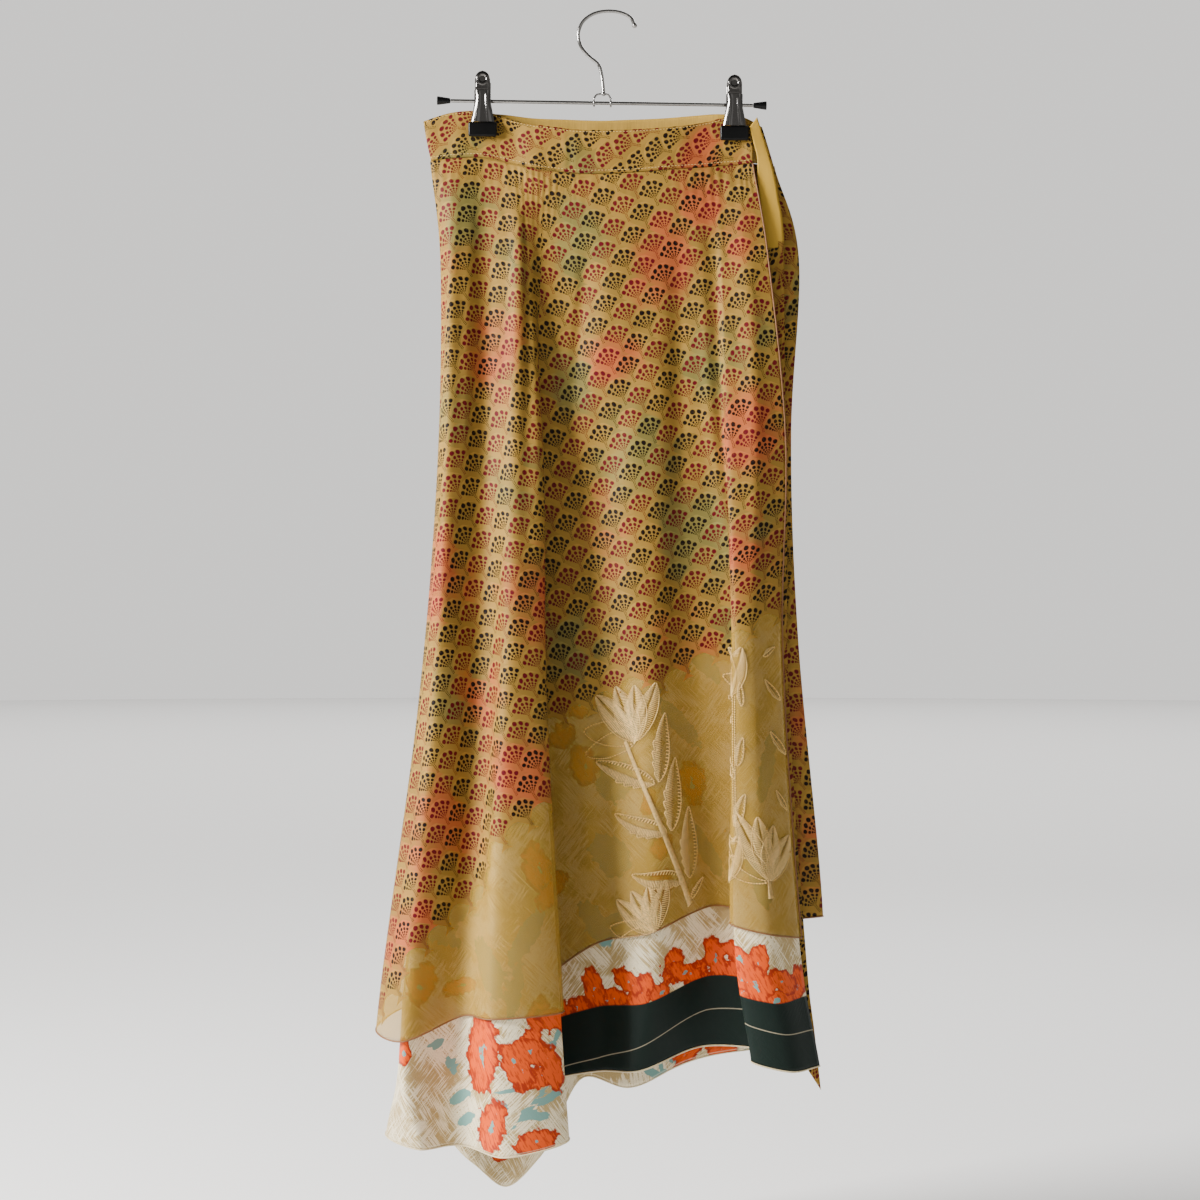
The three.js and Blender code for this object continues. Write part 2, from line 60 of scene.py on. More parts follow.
# The skirt's fold lines in order round it, from the free edge, across the back, which is the near side,
# to the left side, across the front, round the right side and under the back again. top is the
# waistband's top edge (x, y, z); seam, hem and under are the heights of the waist seam, the outer hem
# and the inner hem; across and deep are x and y at the seam, hip, thigh, knee, outer hem and inner hem;
# inset is how far to the right the inner layer's fold hangs at the outer hem.
Fold = namedtuple("Fold", "name top seam hem under across deep inset", defaults=[0])
FOLDS = [
    Fold("free edge", (138, -2.6, -102), -140.5, -858, -976,
         (138, 152, 168, 165, 182, 201), (-4.4, -10.5, -10.5, -11, -16, -20)),
    Fold("right ridge", (126, -1.8, -97), -142, -851, -977,
         (126, 128, 133, 136, 150, 171), (-2.8, -13, -20, -30, -46, -46)),
    Fold("right fold edge", (110, -1.7, -98), -143, -842, -968,
         (110, 111, 114, 120, 116, 132), (-2.6, -10, -17, -28, -40, -40)),
    Fold("behind right fold", (95, -2.8, -102), -144.5, -838, -965,
         (95, 100, 108, 133, 141, 154), (-4.4, -7, -9, -9, -9, -9)),
    Fold("right valley", (63, -7, -107), -147, -830, -961,
         (63, 67, 75, 84, 101, 94), (-8, -9, -8, -5, 0, 0)),
    Fold("middle ridge", (19, -9, -110), -150.5, -852, -979,
         (19, 19, 26, 33, 42, 33), (-9, -13, -18, -22, -30, -30)),
    Fold("middle flat", (-25, -9, -110), -151, -864, -983,
         (-25, -22, -13, -8, -6, -7), (-9, -10, -8, -6, -6, -8)),
    Fold("behind pleat", (-41, -8, -108), -149.5, -904, -997,
         (-41, -47, -52, -63, -61, -55), (-9, -8, -5, -1, 0, 0)),
    Fold("under pleat", (-55, -7, -106), -148, -913, -1023,
         (-55, -59, -66, -73, -66, -59), (-9, -9, -12, -20, -32, -34)),
    Fold("pleat edge", (-69, -5.5, -104), -145, -919, -1034,
         (-69, -67, -56, -53, -37, -29), (-8, -14, -28, -42, -60, -64)),
    Fold("pleat ridge", (-85, -2.6, -100), -141, -923, -1047,
         (-85, -79, -83, -90, -101, -89), (-4.2, -20, -36, -52, -80, -84)),
    Fold("left valley", (-111, -1.6, -92), -135.5, -926, -1044,
         (-111, -110, -111, -118, -129, -133), (-2.4, -10, -18, -26, -40, -44)),
    Fold("left ridge", (-141, -2.4, -93), -136, -946, -1044,
         (-141, -142, -145, -157, -183, -168), (-3.6, -20, -32, -44, -62, -64)),
    Fold("left side", (-168, 0, -101), -138, -941, -1037,
         (-161, -151, -154, -172, -209, -203), (0, -5, -8, -14, -28, -30), 21),
    Fold("front of left side", (-149, 3.8, -95), -137, -929, -1029,
         (-147, -143, -144, -161, -192, -187), (5, 8, 11, 12, 10, 8), 19),
    Fold("front ridge 1", (-127, 2, -94), -134, -925, -1047,
         (-125, -122, -125, -138, -158, -155), (3.8, 14, 24, 34, 46, 44)),
    Fold("front valley 1", (-98, 2, -94), -136, -930, -1075,
         (-98, -100, -104, -112, -126, -124), (3.8, 9, 14, 20, 27, 32)),
    Fold("front low fold", (-66, 5.5, -97), -141, -925, -1100,
         (-69, -74, -80, -86, -92, -93), (8, 16, 28, 38, 48, 42)),
    Fold("front valley 2", (-36, 7, -98), -143, -905, -1070,
         (-40, -46, -52, -56, -58, -60), (9, 12, 16, 22, 28, 36)),
    Fold("front ridge 2", (-4, 7, -99), -143, -885, -998,
         (-4, -10, -14, -16, -16, -20), (9, 16, 26, 36, 46, 46)),
    Fold("front valley 3", (28, 7, -98), -143, -870, -1005,
         (26, 24, 22, 22, 24, 24), (9, 12, 14, 18, 24, 34)),
    Fold("front ridge 3", (56, 6, -97), -142, -858, -990,
         (52, 54, 56, 60, 66, 64), (8, 16, 26, 36, 48, 46)),
    Fold("front valley 4", (84, 4, -95), -140, -850, -974,
         (80, 86, 92, 98, 104, 100), (6, 10, 13, 16, 22, 28)),
    Fold("front ridge 4", (108, 1.8, -94), -138, -846, -969,
         (107, 118, 128, 134, 142, 140), (2.8, 11, 19, 26, 34, 34)),
    Fold("front of right side", (128, 2.2, -96), -139, -843, -962,
         (132, 156, 154, 162, 182, 178), (3.2, 11, 15, 19, 24, 24)),
    Fold("right side", (147, 0.3, -106), -142, -841, -952,
         (158, 181, 174, 181, 204, 197), (1.8, 4, 6, 8, 10, 11)),
    Fold("under edge", (140.5, -3, -104), -143, -846, -955,
         (143, 134, 130, 131, 142, 142), (-1.9, -0.6, -0.6, 0, 2, 2)),
]
SHARE_OF_DROP = (0, 0.125, 0.362, 0.635, 1)
OUTER_HEM, INNER_HEM = 4, 5
FOLD_NUMBER = {row.name: number for number, row in enumerate(FOLDS)}
LAST_FOLD = len(FOLDS) - 1
LEFT_SIDE = FOLD_NUMBER["left side"]
UNDER_PLEAT = FOLD_NUMBER["under pleat"]
INNER_FRONT_END = FOLD_NUMBER["front of right side"]

# How far each layer lies outside the line midway between them
OUTER_OFFSET = 0.75
INNER_OFFSET_SEAM = -0.75
INNER_OFFSET_FREE = -2.5
SEAM_GAP = 0.3

# The main creases, each from one place to another: a fold number and the drop below the waist seam.
# width is the half width; depth is how far it stands out, or in where it is below zero.
Crease = namedtuple("Crease", "fold drop to_fold to_drop width depth")
CREASES = [
    Crease(5.7, 60, 6.6, 250, 9, -2.4),
    Crease(5.2, 70, 6.1, 260, 11, 2.0),
    Crease(4.6, 110, 5.9, 330, 13, -2.1),
    Crease(4.3, 90, 4.8, 560, 14, 2.2),
    Crease(3.9, 40, 4.2, 330, 10, -2.1),
    Crease(3.4, 30, 3.2, 420, 11, 2.5),
    Crease(2.7, 60, 2.5, 360, 9, -2.2),
    Crease(2.2, 260, 1.6, 600, 12, 2.2),
    Crease(1.6, 30, 1.3, 300, 9, -2.1),
    Crease(0.7, 90, 0.9, 420, 8, 2.0),
    Crease(0.5, 380, 0.6, 720, 9, -2.2),
    Crease(5.4, 420, 5.0, 720, 16, -2.8),
    Crease(4.6, 520, 4.1, 740, 12, 2.5),
    Crease(6.3, 430, 6.0, 720, 12, 2.4),
    Crease(9.4, 40, 9.7, 380, 8, -2.5),
    Crease(9.8, 260, 10.0, 700, 10, 2.4),
    Crease(10.3, 20, 10.5, 300, 8, -2.2),
    Crease(10.5, 330, 10.6, 740, 12, -3.4),
    Crease(11.4, 40, 11.5, 330, 7, 2.2),
    Crease(11.5, 420, 11.4, 760, 11, 2.8),
    Crease(12.4, 30, 12.5, 260, 8, -2.1),
    Crease(12.5, 380, 12.4, 760, 12, -3.1),
    Crease(14.5, 40, 14.6, 420, 9, -2.2),
    Crease(15.5, 90, 15.4, 620, 10, 2.4),
    Crease(16.6, 50, 16.4, 520, 12, -2.5),
    Crease(17.5, 120, 17.6, 700, 11, 2.7),
    Crease(18.6, 30, 18.4, 430, 9, -2.2),
    Crease(19.5, 160, 19.4, 700, 12, 2.5),
    Crease(20.6, 60, 20.3, 560, 12, -2.7),
    Crease(21.5, 30, 21.7, 480, 9, 2.2),
    Crease(22.5, 120, 22.4, 690, 12, -2.4),
    Crease(23.6, 50, 23.5, 560, 9, 2.2),
    Crease(24.5, 160, 24.4, 720, 8, -1.8),
]
# Small puckers that the gathered waist seam makes just below it
PUCKER_DEPTH, PUCKER_REACH, PUCKER_SPACING = 0.55, 26, 11.5

# The watercolour washes on the printed ground: where each lies, how far it spreads and how strong its
# coral and its leaf green are
Wash = namedtuple("Wash", "fold drop spread coral leaf")
WASHES = [
    Wash(4.2, 85, 42, 1.0, 0), Wash(3.2, 35, 38, 0.95, 0), Wash(5.3, 170, 34, 0.8, 0),
    Wash(1.2, 250, 46, 0.95, 0), Wash(1.4, 360, 40, 0.8, 0), Wash(2.6, 300, 34, 0.5, 0),
    Wash(0.9, 60, 34, 0.7, 0), Wash(5.8, 330, 44, 0.45, 0), Wash(4.4, 450, 46, 0.5, 0),
    Wash(9.3, 400, 48, 0.85, 0), Wash(12.3, 395, 50, 0.85, 0), Wash(10.7, 180, 46, 0.7, 0),
    Wash(11.8, 620, 54, 0.8, 0), Wash(9.7, 560, 48, 0.75, 0), Wash(12.1, 720, 44, 0.75, 0),
    Wash(12.4, 90, 40, 0.4, 0), Wash(10.8, 500, 40, 0.6, 0), Wash(0.5, 160, 34, 0.2, 0.7),
    Wash(6.3, 60, 52, 0, 0.9), Wash(6.4, 190, 46, 0, 0.8), Wash(4.9, 260, 50, 0, 0.85),
    Wash(3.4, 180, 44, 0, 0.8), Wash(3.9, 340, 48, 0, 0.9), Wash(2.0, 180, 34, 0, 0.6),
    Wash(6.4, 440, 44, 0, 0.7), Wash(11.6, 60, 46, 0, 0.85), Wash(12.4, 240, 44, 0, 0.7),
    Wash(9.8, 90, 36, 0, 0.6), Wash(10.1, 300, 42, 0, 0.65), Wash(11.5, 500, 44, 0, 0.6),
    Wash(3.0, 430, 44, 0.1, 0.7), Wash(0.6, 330, 36, 0, 0.5),
    Wash(14.5, 120, 60, 0.8, 0), Wash(15.4, 420, 60, 0.8, 0), Wash(16.6, 240, 56, 0, 0.85),
    Wash(17.5, 560, 60, 0.75, 0), Wash(18.4, 90, 56, 0, 0.8), Wash(19.3, 330, 60, 0.85, 0),
    Wash(20.4, 560, 56, 0, 0.8), Wash(21.2, 160, 56, 0.8, 0), Wash(22.3, 430, 60, 0, 0.85),
    Wash(23.4, 250, 56, 0.8, 0), Wash(24.5, 520, 48, 0.7, 0), Wash(25.2, 120, 44, 0.2, 0.6),
    Wash(25.1, 640, 48, 0.6, 0.2),
]

# The lengths that the print is laid along: from one fold to another, the fold that it keeps straight to,
# how far it is turned, and two places on the line where it ends in steps above the sheer border
Lay = namedtuple("Lay", "start stop straight_to turn edge_a edge_b", defaults=[None, None])
OUTER_BACK_LAYS = [
    Lay(0, UNDER_PLEAT, 6, 24, (6.2, 490), (1.0, 428)),
    Lay(UNDER_PLEAT, LEFT_SIDE, 11, 8, (9.3, 590), (12.3, 760)),
]
OUTER_FRONT_LAYS = [
    Lay(LEFT_SIDE, 14.5, 20, 14, (13, 790), (14.5, 540)),
    Lay(14.5, 19, 20, 14, (14.5, 540), (19, 430)),
    Lay(19, LAST_FOLD, 20, 14, (19, 430), (24.5, 790)),
]
BAND_TURN = -34

# The printed fan: its point in the corner of its cell, and rays of dots that shrink towards the point by a
# steady ratio. The squareness is that of the arcs that the dots lie on.
FAN_POINT = (17.2, 5.6)
FAN_RADIUS = 13.9
FAN_SHRINK = 0.70
FAN_RAYS = 5
FAN_SQUARENESS = 3.4
# The tail of small dots beyond the point: their step, how far apart its two rows are and how far it goes
TAIL_STEP, TAIL_HALF_GAP, TAIL_MIDDLE, TAIL_HALF_LENGTH = 1.35, 0.7, 3.1, 4.6
# The tails reach under the next column: a low strip of each cell is moved across by these shares of it
TAIL_STRIP, TAIL_SHIFT = 0.165, 0.165
# The clamshell behind each fan, round the fan's point
SHELL_RADIUS, SHELL_RIM = 19.1, 1.1

# The inner layer's dark border: its height and its thread line's height above the hem, along the folds
BORDER_HEIGHT = {"folds": (0, 2, 4, 6, 7, 8, 8.6, 8.9), "height": (66, 62, 66, 60, 52, 48, 44, 0)}
THREAD_HEIGHT = {"folds": (0, 2, 3, 4, 6, 8), "height": (34, 36, 36, 34, 12, 2)}

# The stitched flowers, leaves and stems of the sheer border: x and z of the foot, the lean clockwise
# from upright in degrees and the length
Motif = namedtuple("Motif", "kind x z lean length")
MOTIFS = [
    Motif("stem", 80, -826, -18.5, 176), Motif("tulip", 30, -677, -16, 57),
    Motif("leaf", 47, -718, -54, 65), Motif("leaf", 58, -760, -53, 58),
    Motif("leaf", 75, -804, -60, 58), Motif("leaf", 50, -716, 16, 61), Motif("leaf", 64, -760, 14, 65),
    Motif("leaf", 78, -802, 10, 65), Motif("leaf", 82, -824, 52, 22), Motif("tulip", 45, -851, -24, 48),
    Motif("stalk", 119, -752, -1, 120), Motif("tulip", 117, -633, -24, 54),
    Motif("leaf", 116, -661, -55, 37), Motif("leaf", 119, -710, -32, 36),
    Motif("leaf", 125, -643, 5, 22), Motif("leaf", 122, -698, 19, 28), Motif("leaf", 120, -753, 24, 34),
    Motif("leaf", 118, -751, -24, 24), Motif("tulip", 115, -803, -26, 50),
    Motif("tulip", 152, -804, -5, 58), Motif("stem", 153, -820, -3, 15),
    Motif("leaf", 147, -600, 62, 17), Motif("leaf", 163, -640, -36, 25),
    Motif("leaf", 167, -690, -33, 26), Motif("leaf", 168, -742, -27, 21),
]
TULIP_PETALS = {"lean": (-64, -45, -20, -3, 14, 34), "length": (0.9, 0.98, 1.08, 0.98, 0.9, 0.92)}
TULIP_FILLED = (2, 3, 4, 5)
LEAF_WIDTH, LEAF_BOW, TULIP_PETAL_WIDTH, TULIP_PETAL_BOW = 0.26, -0.12, 0.4, 0.16
# Grain shaped stitches: how far they lie off the cloth and how high they are, the beads, which are made
# the same way, and the topstitching
STITCH_LIFT, STITCH_HEIGHT, SHORTEST_STITCH = 0.25, 0.8, 0.01
BEAD = {"lift": 0.6, "length": 2.1, "width": 2.0, "height": 1.5}
TOPSTITCH = {"step": 3.1, "length": 2.3, "from_top": 1.6, "from_seam": 2.2, "lift": 0.15, "width": 0.55,
             "height": 0.3}
BEADS = [(15, -628), (107, -585), (111, -757), (147, -756), (170, -778), (26, -817), (50, -820),
         (131, -681)]

# The inner layer's painted flowers, as seen on the near side: each petal's middle, lean clockwise from
# upright, length and width. Petals that touch are in different sets.
Petal = namedtuple("Petal", "x z lean length width")
PETALS = {
    "petals_a": [
        Petal(-110, -957, 4, 74, 30), Petal(-101, -1020, 14, 54, 24), Petal(-182, -956, 0, 26, 14),
        Petal(-22, -640, 10, 34, 32), Petal(-19, -700, -16, 40, 26), Petal(41, -732, 10, 26, 14),
        Petal(53, -773, 30, 26, 20), Petal(82, -716, -10, 42, 26), Petal(-166, -894, 10, 40, 26),
        Petal(-60, -790, -20, 50, 26), Petal(120, -520, 30, 56, 28), Petal(-110, -560, -24, 60, 28),
        Petal(-20, -440, 20, 58, 28), Petal(80, -330, -14, 56, 28), Petal(-96, -330, 30, 56, 28),
    ],
    "petals_b": [
        Petal(-79, -966, -24, 50, 25), Petal(-62, -1034, 74, 42, 22), Petal(50, -814, 20, 42, 26),
        Petal(-38, -672, 40, 30, 22), Petal(-132, -900, 70, 34, 16), Petal(96, -506, -24, 46, 26),
        Petal(-86, -544, 24, 46, 26), Petal(4, -426, -34, 46, 26), Petal(104, -316, 40, 46, 26),
        Petal(-72, -316, -30, 46, 26), Petal(-118, -1054, 0, 18, 14),
        Petal(100, -1064, 20, 30, 16), Petal(-48, -812, 40, 36, 20),
    ],
    "leaves": [
        Petal(-147, -960, -56, 54, 3), Petal(-76, -985, 78, 56, 4), Petal(-63, -998, 40, 68, 4),
        Petal(-140, -972, -30, 20, 8), Petal(-152, -950, 80, 18, 7), Petal(-60, -960, 14, 30, 9),
        Petal(-48, -994, 60, 24, 8), Petal(-62, -1010, 96, 26, 9), Petal(-92, -1000, -60, 18, 7),
        Petal(-132, -1000, 60, 22, 10), Petal(-126, -1020, 50, 20, 9), Petal(-44, -944, 20, 46, 5),
        Petal(10, -714, 30, 40, 34), Petal(6, -782, -40, 44, 32), Petal(24, -660, 60, 40, 20),
        Petal(70, -660, -40, 60, 16), Petal(24, -840, 70, 60, 20), Petal(-8, -846, -30, 50, 20),
        Petal(96, -780, -30, 60, 14), Petal(-130, -820, 40, 70, 26), Petal(-104, -880, -20, 60, 20),
        Petal(-150, -850, -50, 46, 16), Petal(-80, -900, 10, 50, 12), Petal(-70, -850, 30, 60, 18),
        Petal(150, -700, 10, 70, 14), Petal(140, -800, -20, 60, 14), Petal(20, -610, 50, 70, 16),
        Petal(-90, -640, 40, 70, 16), Petal(90, -600, -40, 60, 16), Petal(-10, -500, -30, 70, 14),
        Petal(100, -430, 40, 60, 14), Petal(-100, -440, -40, 70, 16), Petal(30, -380, 60, 70, 16),
    ],
}
# The row of flowers along the top of the border: the step, the border's least height for a flower, then
# each one's lean, length and width and how far its middle is above the border
ROW_STEP, ROW_LEAST_BORDER = 15.5, 20
ROW_FLOWERS = [(20, 40, 22, 12), (-50, 34, 18, 20), (70, 40, 20, 4), (-16, 46, 20, 16), (46, 30, 22, 4),
               (-70, 40, 18, 12), (8, 36, 20, 24), (30, 22, 18, 2)]

# The ties: each row is the left and the right edge of the strip
Edges = namedtuple("Edges", "left right")
TIE_EDGES = [
    Edges((135, -6.4, -107), (142, -6.4, -98)),
    Edges((138.5, -6.2, -121), (147.5, -5.4, -115)),
    Edges((142, -4.6, -135), (153, -4.4, -133)),
    Edges((142.5, -4.2, -152), (158, -4.3, -150)),
    Edges((144.5, -3.8, -174), (162, -4, -172)),
    Edges((145.5, -3.8, -202), (166.5, -3.8, -201)),
    Edges((145.4, -3.8, -262), (167.4, -3.8, -262)),
    Edges((146, -4, -340), (168, -4, -340)),
    Edges((148, -4.2, -450), (170, -4.2, -450)),
    Edges((148, -4.5, -580), (170, -4.5, -580)),
    Edges((151, -5, -660), (173, -5, -660)),
    Edges((156, -5.5, -750), (178, -5.5, -750)),
    Edges((162, -6.2, -830), (184, -6.2, -830)),
    Edges((168, -7.4, -905), (190, -7.4, -905)),
    Edges((173, -8.4, -945), (195, -8.4, -945)),
    Edges((179, -9, -966), (201, -9, -1000)),
]
TIE_WIDTH, TIE_THICKNESS, TIE_COLUMNS = 22, 0.9, 9
# The tie's top shows its plain gold side down to here, and its print lies upside down below
TIE_GOLD_DROP, TIE_TURN = 118, 186
UNDER_TIE_LEFT, UNDER_TIE_DROP, UNDER_TIE_TOP, UNDER_TIE_SHIFT = 117, 480, -143.6, -10
UNDER_TIE_DEPTH = (0.1, 2.2, 3, 3.4)

# The wire hanger
HOOK_LINE = [
    (28.5, -11.5), (25, -4.6), (16, 0.3), (2, 1.75), (-11, -1.3), (-20.4, -9), (-23.8, -19.5),
    (-21.4, -31), (-13.6, -40.6), (-5.2, -47.8), (-2.4, -56), (-1, -66), (-0.3, -74.4),
]
WIRE_RADIUS = 1.7
HOOK_BALL = 2.5
ROD = {"radius": 1.75, "left": -142.5, "right": 138.5, "height_at_left": -81.6, "height_at_right": -85.9}
ROD_TIP = {"length": 12.4, "inner_radius": 2.4, "outer_radius": 4.2}
BRIDGE = {"top": -74.7, "leg_left": -9.2, "leg_right": 6.4, "wire": 0.95, "eye": 2.95, "head": 2.1,
          "head_at": (-0.3, -75.2)}
CLIP_X = {"left": -112.6, "right": 121}
JAW = {"sheet": 1.2, "head_radius": 7.2, "above_rod": 26.5, "below_rod": 20.2, "foot_width": 22.4,
       "top_depth": 9, "foot_depth": 6.6}
EAR = {"sheet": 1, "top": 9, "bottom": 8, "reach": 3, "near_at": 7.2, "far_at": 5.9}
GRIP = {"width": 26.5, "height": 13.4, "depth": 4.8, "inner_face": 3.9, "rounding": 1.7}
SPRING = {"radius": 2.7, "wire": 0.6, "length": 9, "turns": 6}

# How many columns and rows of points each panel of cloth has
OUTER_GRID, INNER_GRID, BAND_GRID = (170, 180), (140, 170), (170, 18)

# The stage
FLOOR_HEIGHT = -1165
CAMERA_PLACE = (-3.72 * MM, -2.4, -545.9 * MM)
CAMERA_LENS = 77.42
FLOOR_RADIUS = 14
# Each area light's name, place, size and power. The floor light hangs over the far floor and shines down.
LIGHTS = [
    ("key_light", (-2.3, -1.0, 0.45), 0.9, 260), ("fill_light", (1.2, -2.3, 0.1), 1.6, 4),
    ("back_light", (0.8, 2.0, 0.9), 1.4, 18), ("floor_light", (0, 8, 4), 13.0, 1100),
]
LIGHTS_AIM = Vector((0, 0, -0.5))


def linear(hex_text):
    """A colour given as an sRGB hex value, as linear red, green, blue and alpha."""
    parts = [int(hex_text[i:i + 2], 16) / 255 for i in (1, 3, 5)]
    return (*(p / 12.92 if p <= 0.04045 else ((p + 0.055) / 1.055) ** 2.4 for p in parts), 1.0)


def colour(name, description, hex_text):
    """A property for a colour, with the hex value as its default."""
    return bpy.props.FloatVectorProperty(
        name=name, description=description, subtype="COLOR", size=4, min=0, max=1, default=linear(hex_text))


class PrintSettings(bpy.types.PropertyGroup):
    """Sizes and colours of the printed outer layer."""

    fan_across: bpy.props.FloatProperty(
        name="Fans across", description="Step from one column of fans to the next", default=0.0197,
        unit="LENGTH")
    fan_down: bpy.props.FloatProperty(
        name="Fans down", description="Step from one fan to the next down a column", default=0.0228,
        unit="LENGTH")
    ground: colour("Ground", "Tan gold of the printed ground", "#8A6A2C")
    coral: colour("Coral wash", "Coral of the watercolour washes", "#A4452A")
    leaf: colour("Leaf wash", "Green of the watercolour washes", "#6E6A38")
    red: colour("Red fans", "Print colour of every other column", "#520410")
    black: colour("Dark fans", "Print colour of the columns between", "#0D0403")
    sheer: colour("Sheer border", "Gold of the sheer border and of the ties", "#A88430")
    stitch: colour("Stitched flowers", "Pale gold thread of the stitched flowers", "#E6C27A")


class InnerSettings(bpy.types.PropertyGroup):
    """Colours of the ivory inner layer."""

    ivory: colour("Ivory", "Ground of the inner layer", "#DCCEAC")
    beige: colour("Beige", "Darker stretches of the ground", "#A68E5E")
    flower: colour("Flowers", "Orange of the printed flowers", "#D24A00")
    flower_dark: colour("Flower hearts", "Deep red of the folds of the flowers", "#7C1000")
    stem: colour("Stems", "Teal grey of the leaves and stems", "#6A8F86")
    border: colour("Border", "Dark green of the border", "#04150F")


class MakingSettings(bpy.types.PropertyGroup):
    """Sizes of the sewing and the cloth."""

    silk: bpy.props.FloatProperty(
        name="Silk", description="Thickness of one layer of silk", default=0.0005, unit="LENGTH")
    band: bpy.props.FloatProperty(
        name="Waistband", description="Thickness of the folded waistband", default=0.0015, unit="LENGTH")
    hem: bpy.props.FloatProperty(
        name="Hem roll", description="Radius of the narrow rolled hems", default=0.0008, unit="LENGTH")
    stitch: bpy.props.FloatProperty(
        name="Thread", description="Width of the embroidery thread, which each kind of stitch lays a set "
        "number of times as wide", default=0.001, unit="LENGTH")


def spline(points, at, centripetal=False):
    """Points on the smooth curve through the given ones, at places counted in points from 0."""
    points = np.asarray(points, float)
    padded = np.vstack([2 * points[0] - points[1], points, 2 * points[-1] - points[-2]])
    at = np.clip(np.asarray(at, float), 0, len(points) - 1)
    first = np.minimum(at.astype(int), len(points) - 2)
    share = (at - first)[:, None]
    p0, p1, p2, p3 = (padded[first + i] for i in range(4))
    if centripetal:
        pairs = ((p0, p1), (p1, p2), (p2, p3))
        d0, d1, d2 = (np.sqrt(np.linalg.norm(b - a, axis=1))[:, None] for a, b in pairs)
        start = ((p1 - p0) / d0 - (p2 - p0) / (d0 + d1) + (p2 - p1) / d1) * d1
        end = ((p2 - p1) / d1 - (p3 - p1) / (d1 + d2) + (p3 - p2) / d2) * d1
    else:
        start, end = (p2 - p0) / 2, (p3 - p1) / 2
    square = 3 * (p2 - p1) - 2 * start - end
    cube = 2 * (p1 - p2) + start + end
    return p1 + start * share + square * share ** 2 + cube * share ** 3


def fold_sections(levels, inner):
    """For each level, the places of all the fold lines there."""
    lines = []
    for row in FOLDS:
        heights = [row.seam + share * (row.hem - row.seam) for share in SHARE_OF_DROP] + [row.under]
        line = np.array([row.across, row.deep, heights], float).T
        if inner:
            line[OUTER_HEM, 0] += row.inset
        lines.append(spline(line, levels))
    return np.array(lines).transpose(1, 0, 2)


def places_on(section, folds):
    """Points on a section at the given folds, and the way out of the skirt at each."""
    reach = 0.04
    along = spline(section, folds + reach, True) - spline(section, folds - reach, True)
    along[:, 2] = 0
    along /= np.linalg.norm(along, axis=1)[:, None]
    out = np.column_stack([-along[:, 1], along[:, 0], np.zeros(len(folds))])
    return spline(section, folds, True), out


def lengths(points, axis):
    """How far along the cloth each grid point lies, down the rows or across the columns."""
    steps = np.linalg.norm(np.diff(points, axis=axis), axis=2)
    start = np.zeros_like(steps.take([0], axis=axis))
    return np.concatenate([start, np.cumsum(steps, axis=axis)], axis=axis)


KNEE_SECTION = fold_sections([3], False)[0]
FOLD_PLACE = np.concatenate([[0], np.cumsum(np.linalg.norm(np.diff(KNEE_SECTION, axis=0), axis=1))])


def place_of(fold):
    """How far round the skirt a fold number lies at the knee."""
    return np.interp(fold, range(len(FOLDS)), FOLD_PLACE)


def relief(folds, drop):
    """How far creases and puckers move the cloth outwards at each point of a grid."""
    place = place_of(folds)[None, :] + np.zeros_like(drop)
    height = np.zeros_like(drop)
    for crease in CREASES:
        start = place_of(crease.fold)
        way = np.array([place_of(crease.to_fold) - start, crease.to_drop - crease.drop])
        share = ((place - start) * way[0] + (drop - crease.drop) * way[1]) / way.dot(way)
        share = np.clip(share, 0, 1)
        away = np.hypot(place - start - share * way[0], drop - crease.drop - share * way[1])
        height += crease.depth * np.exp(-(away / crease.width) ** 2) * np.sin(math.pi * share) ** 0.7
    wave = np.sin(2 * math.pi * place / PUCKER_SPACING + 1.9 * np.sin(place / 23))
    fade = np.exp(-drop / PUCKER_REACH) * (1 - np.exp(-drop / 5))
    return height + PUCKER_DEPTH * wave * fade


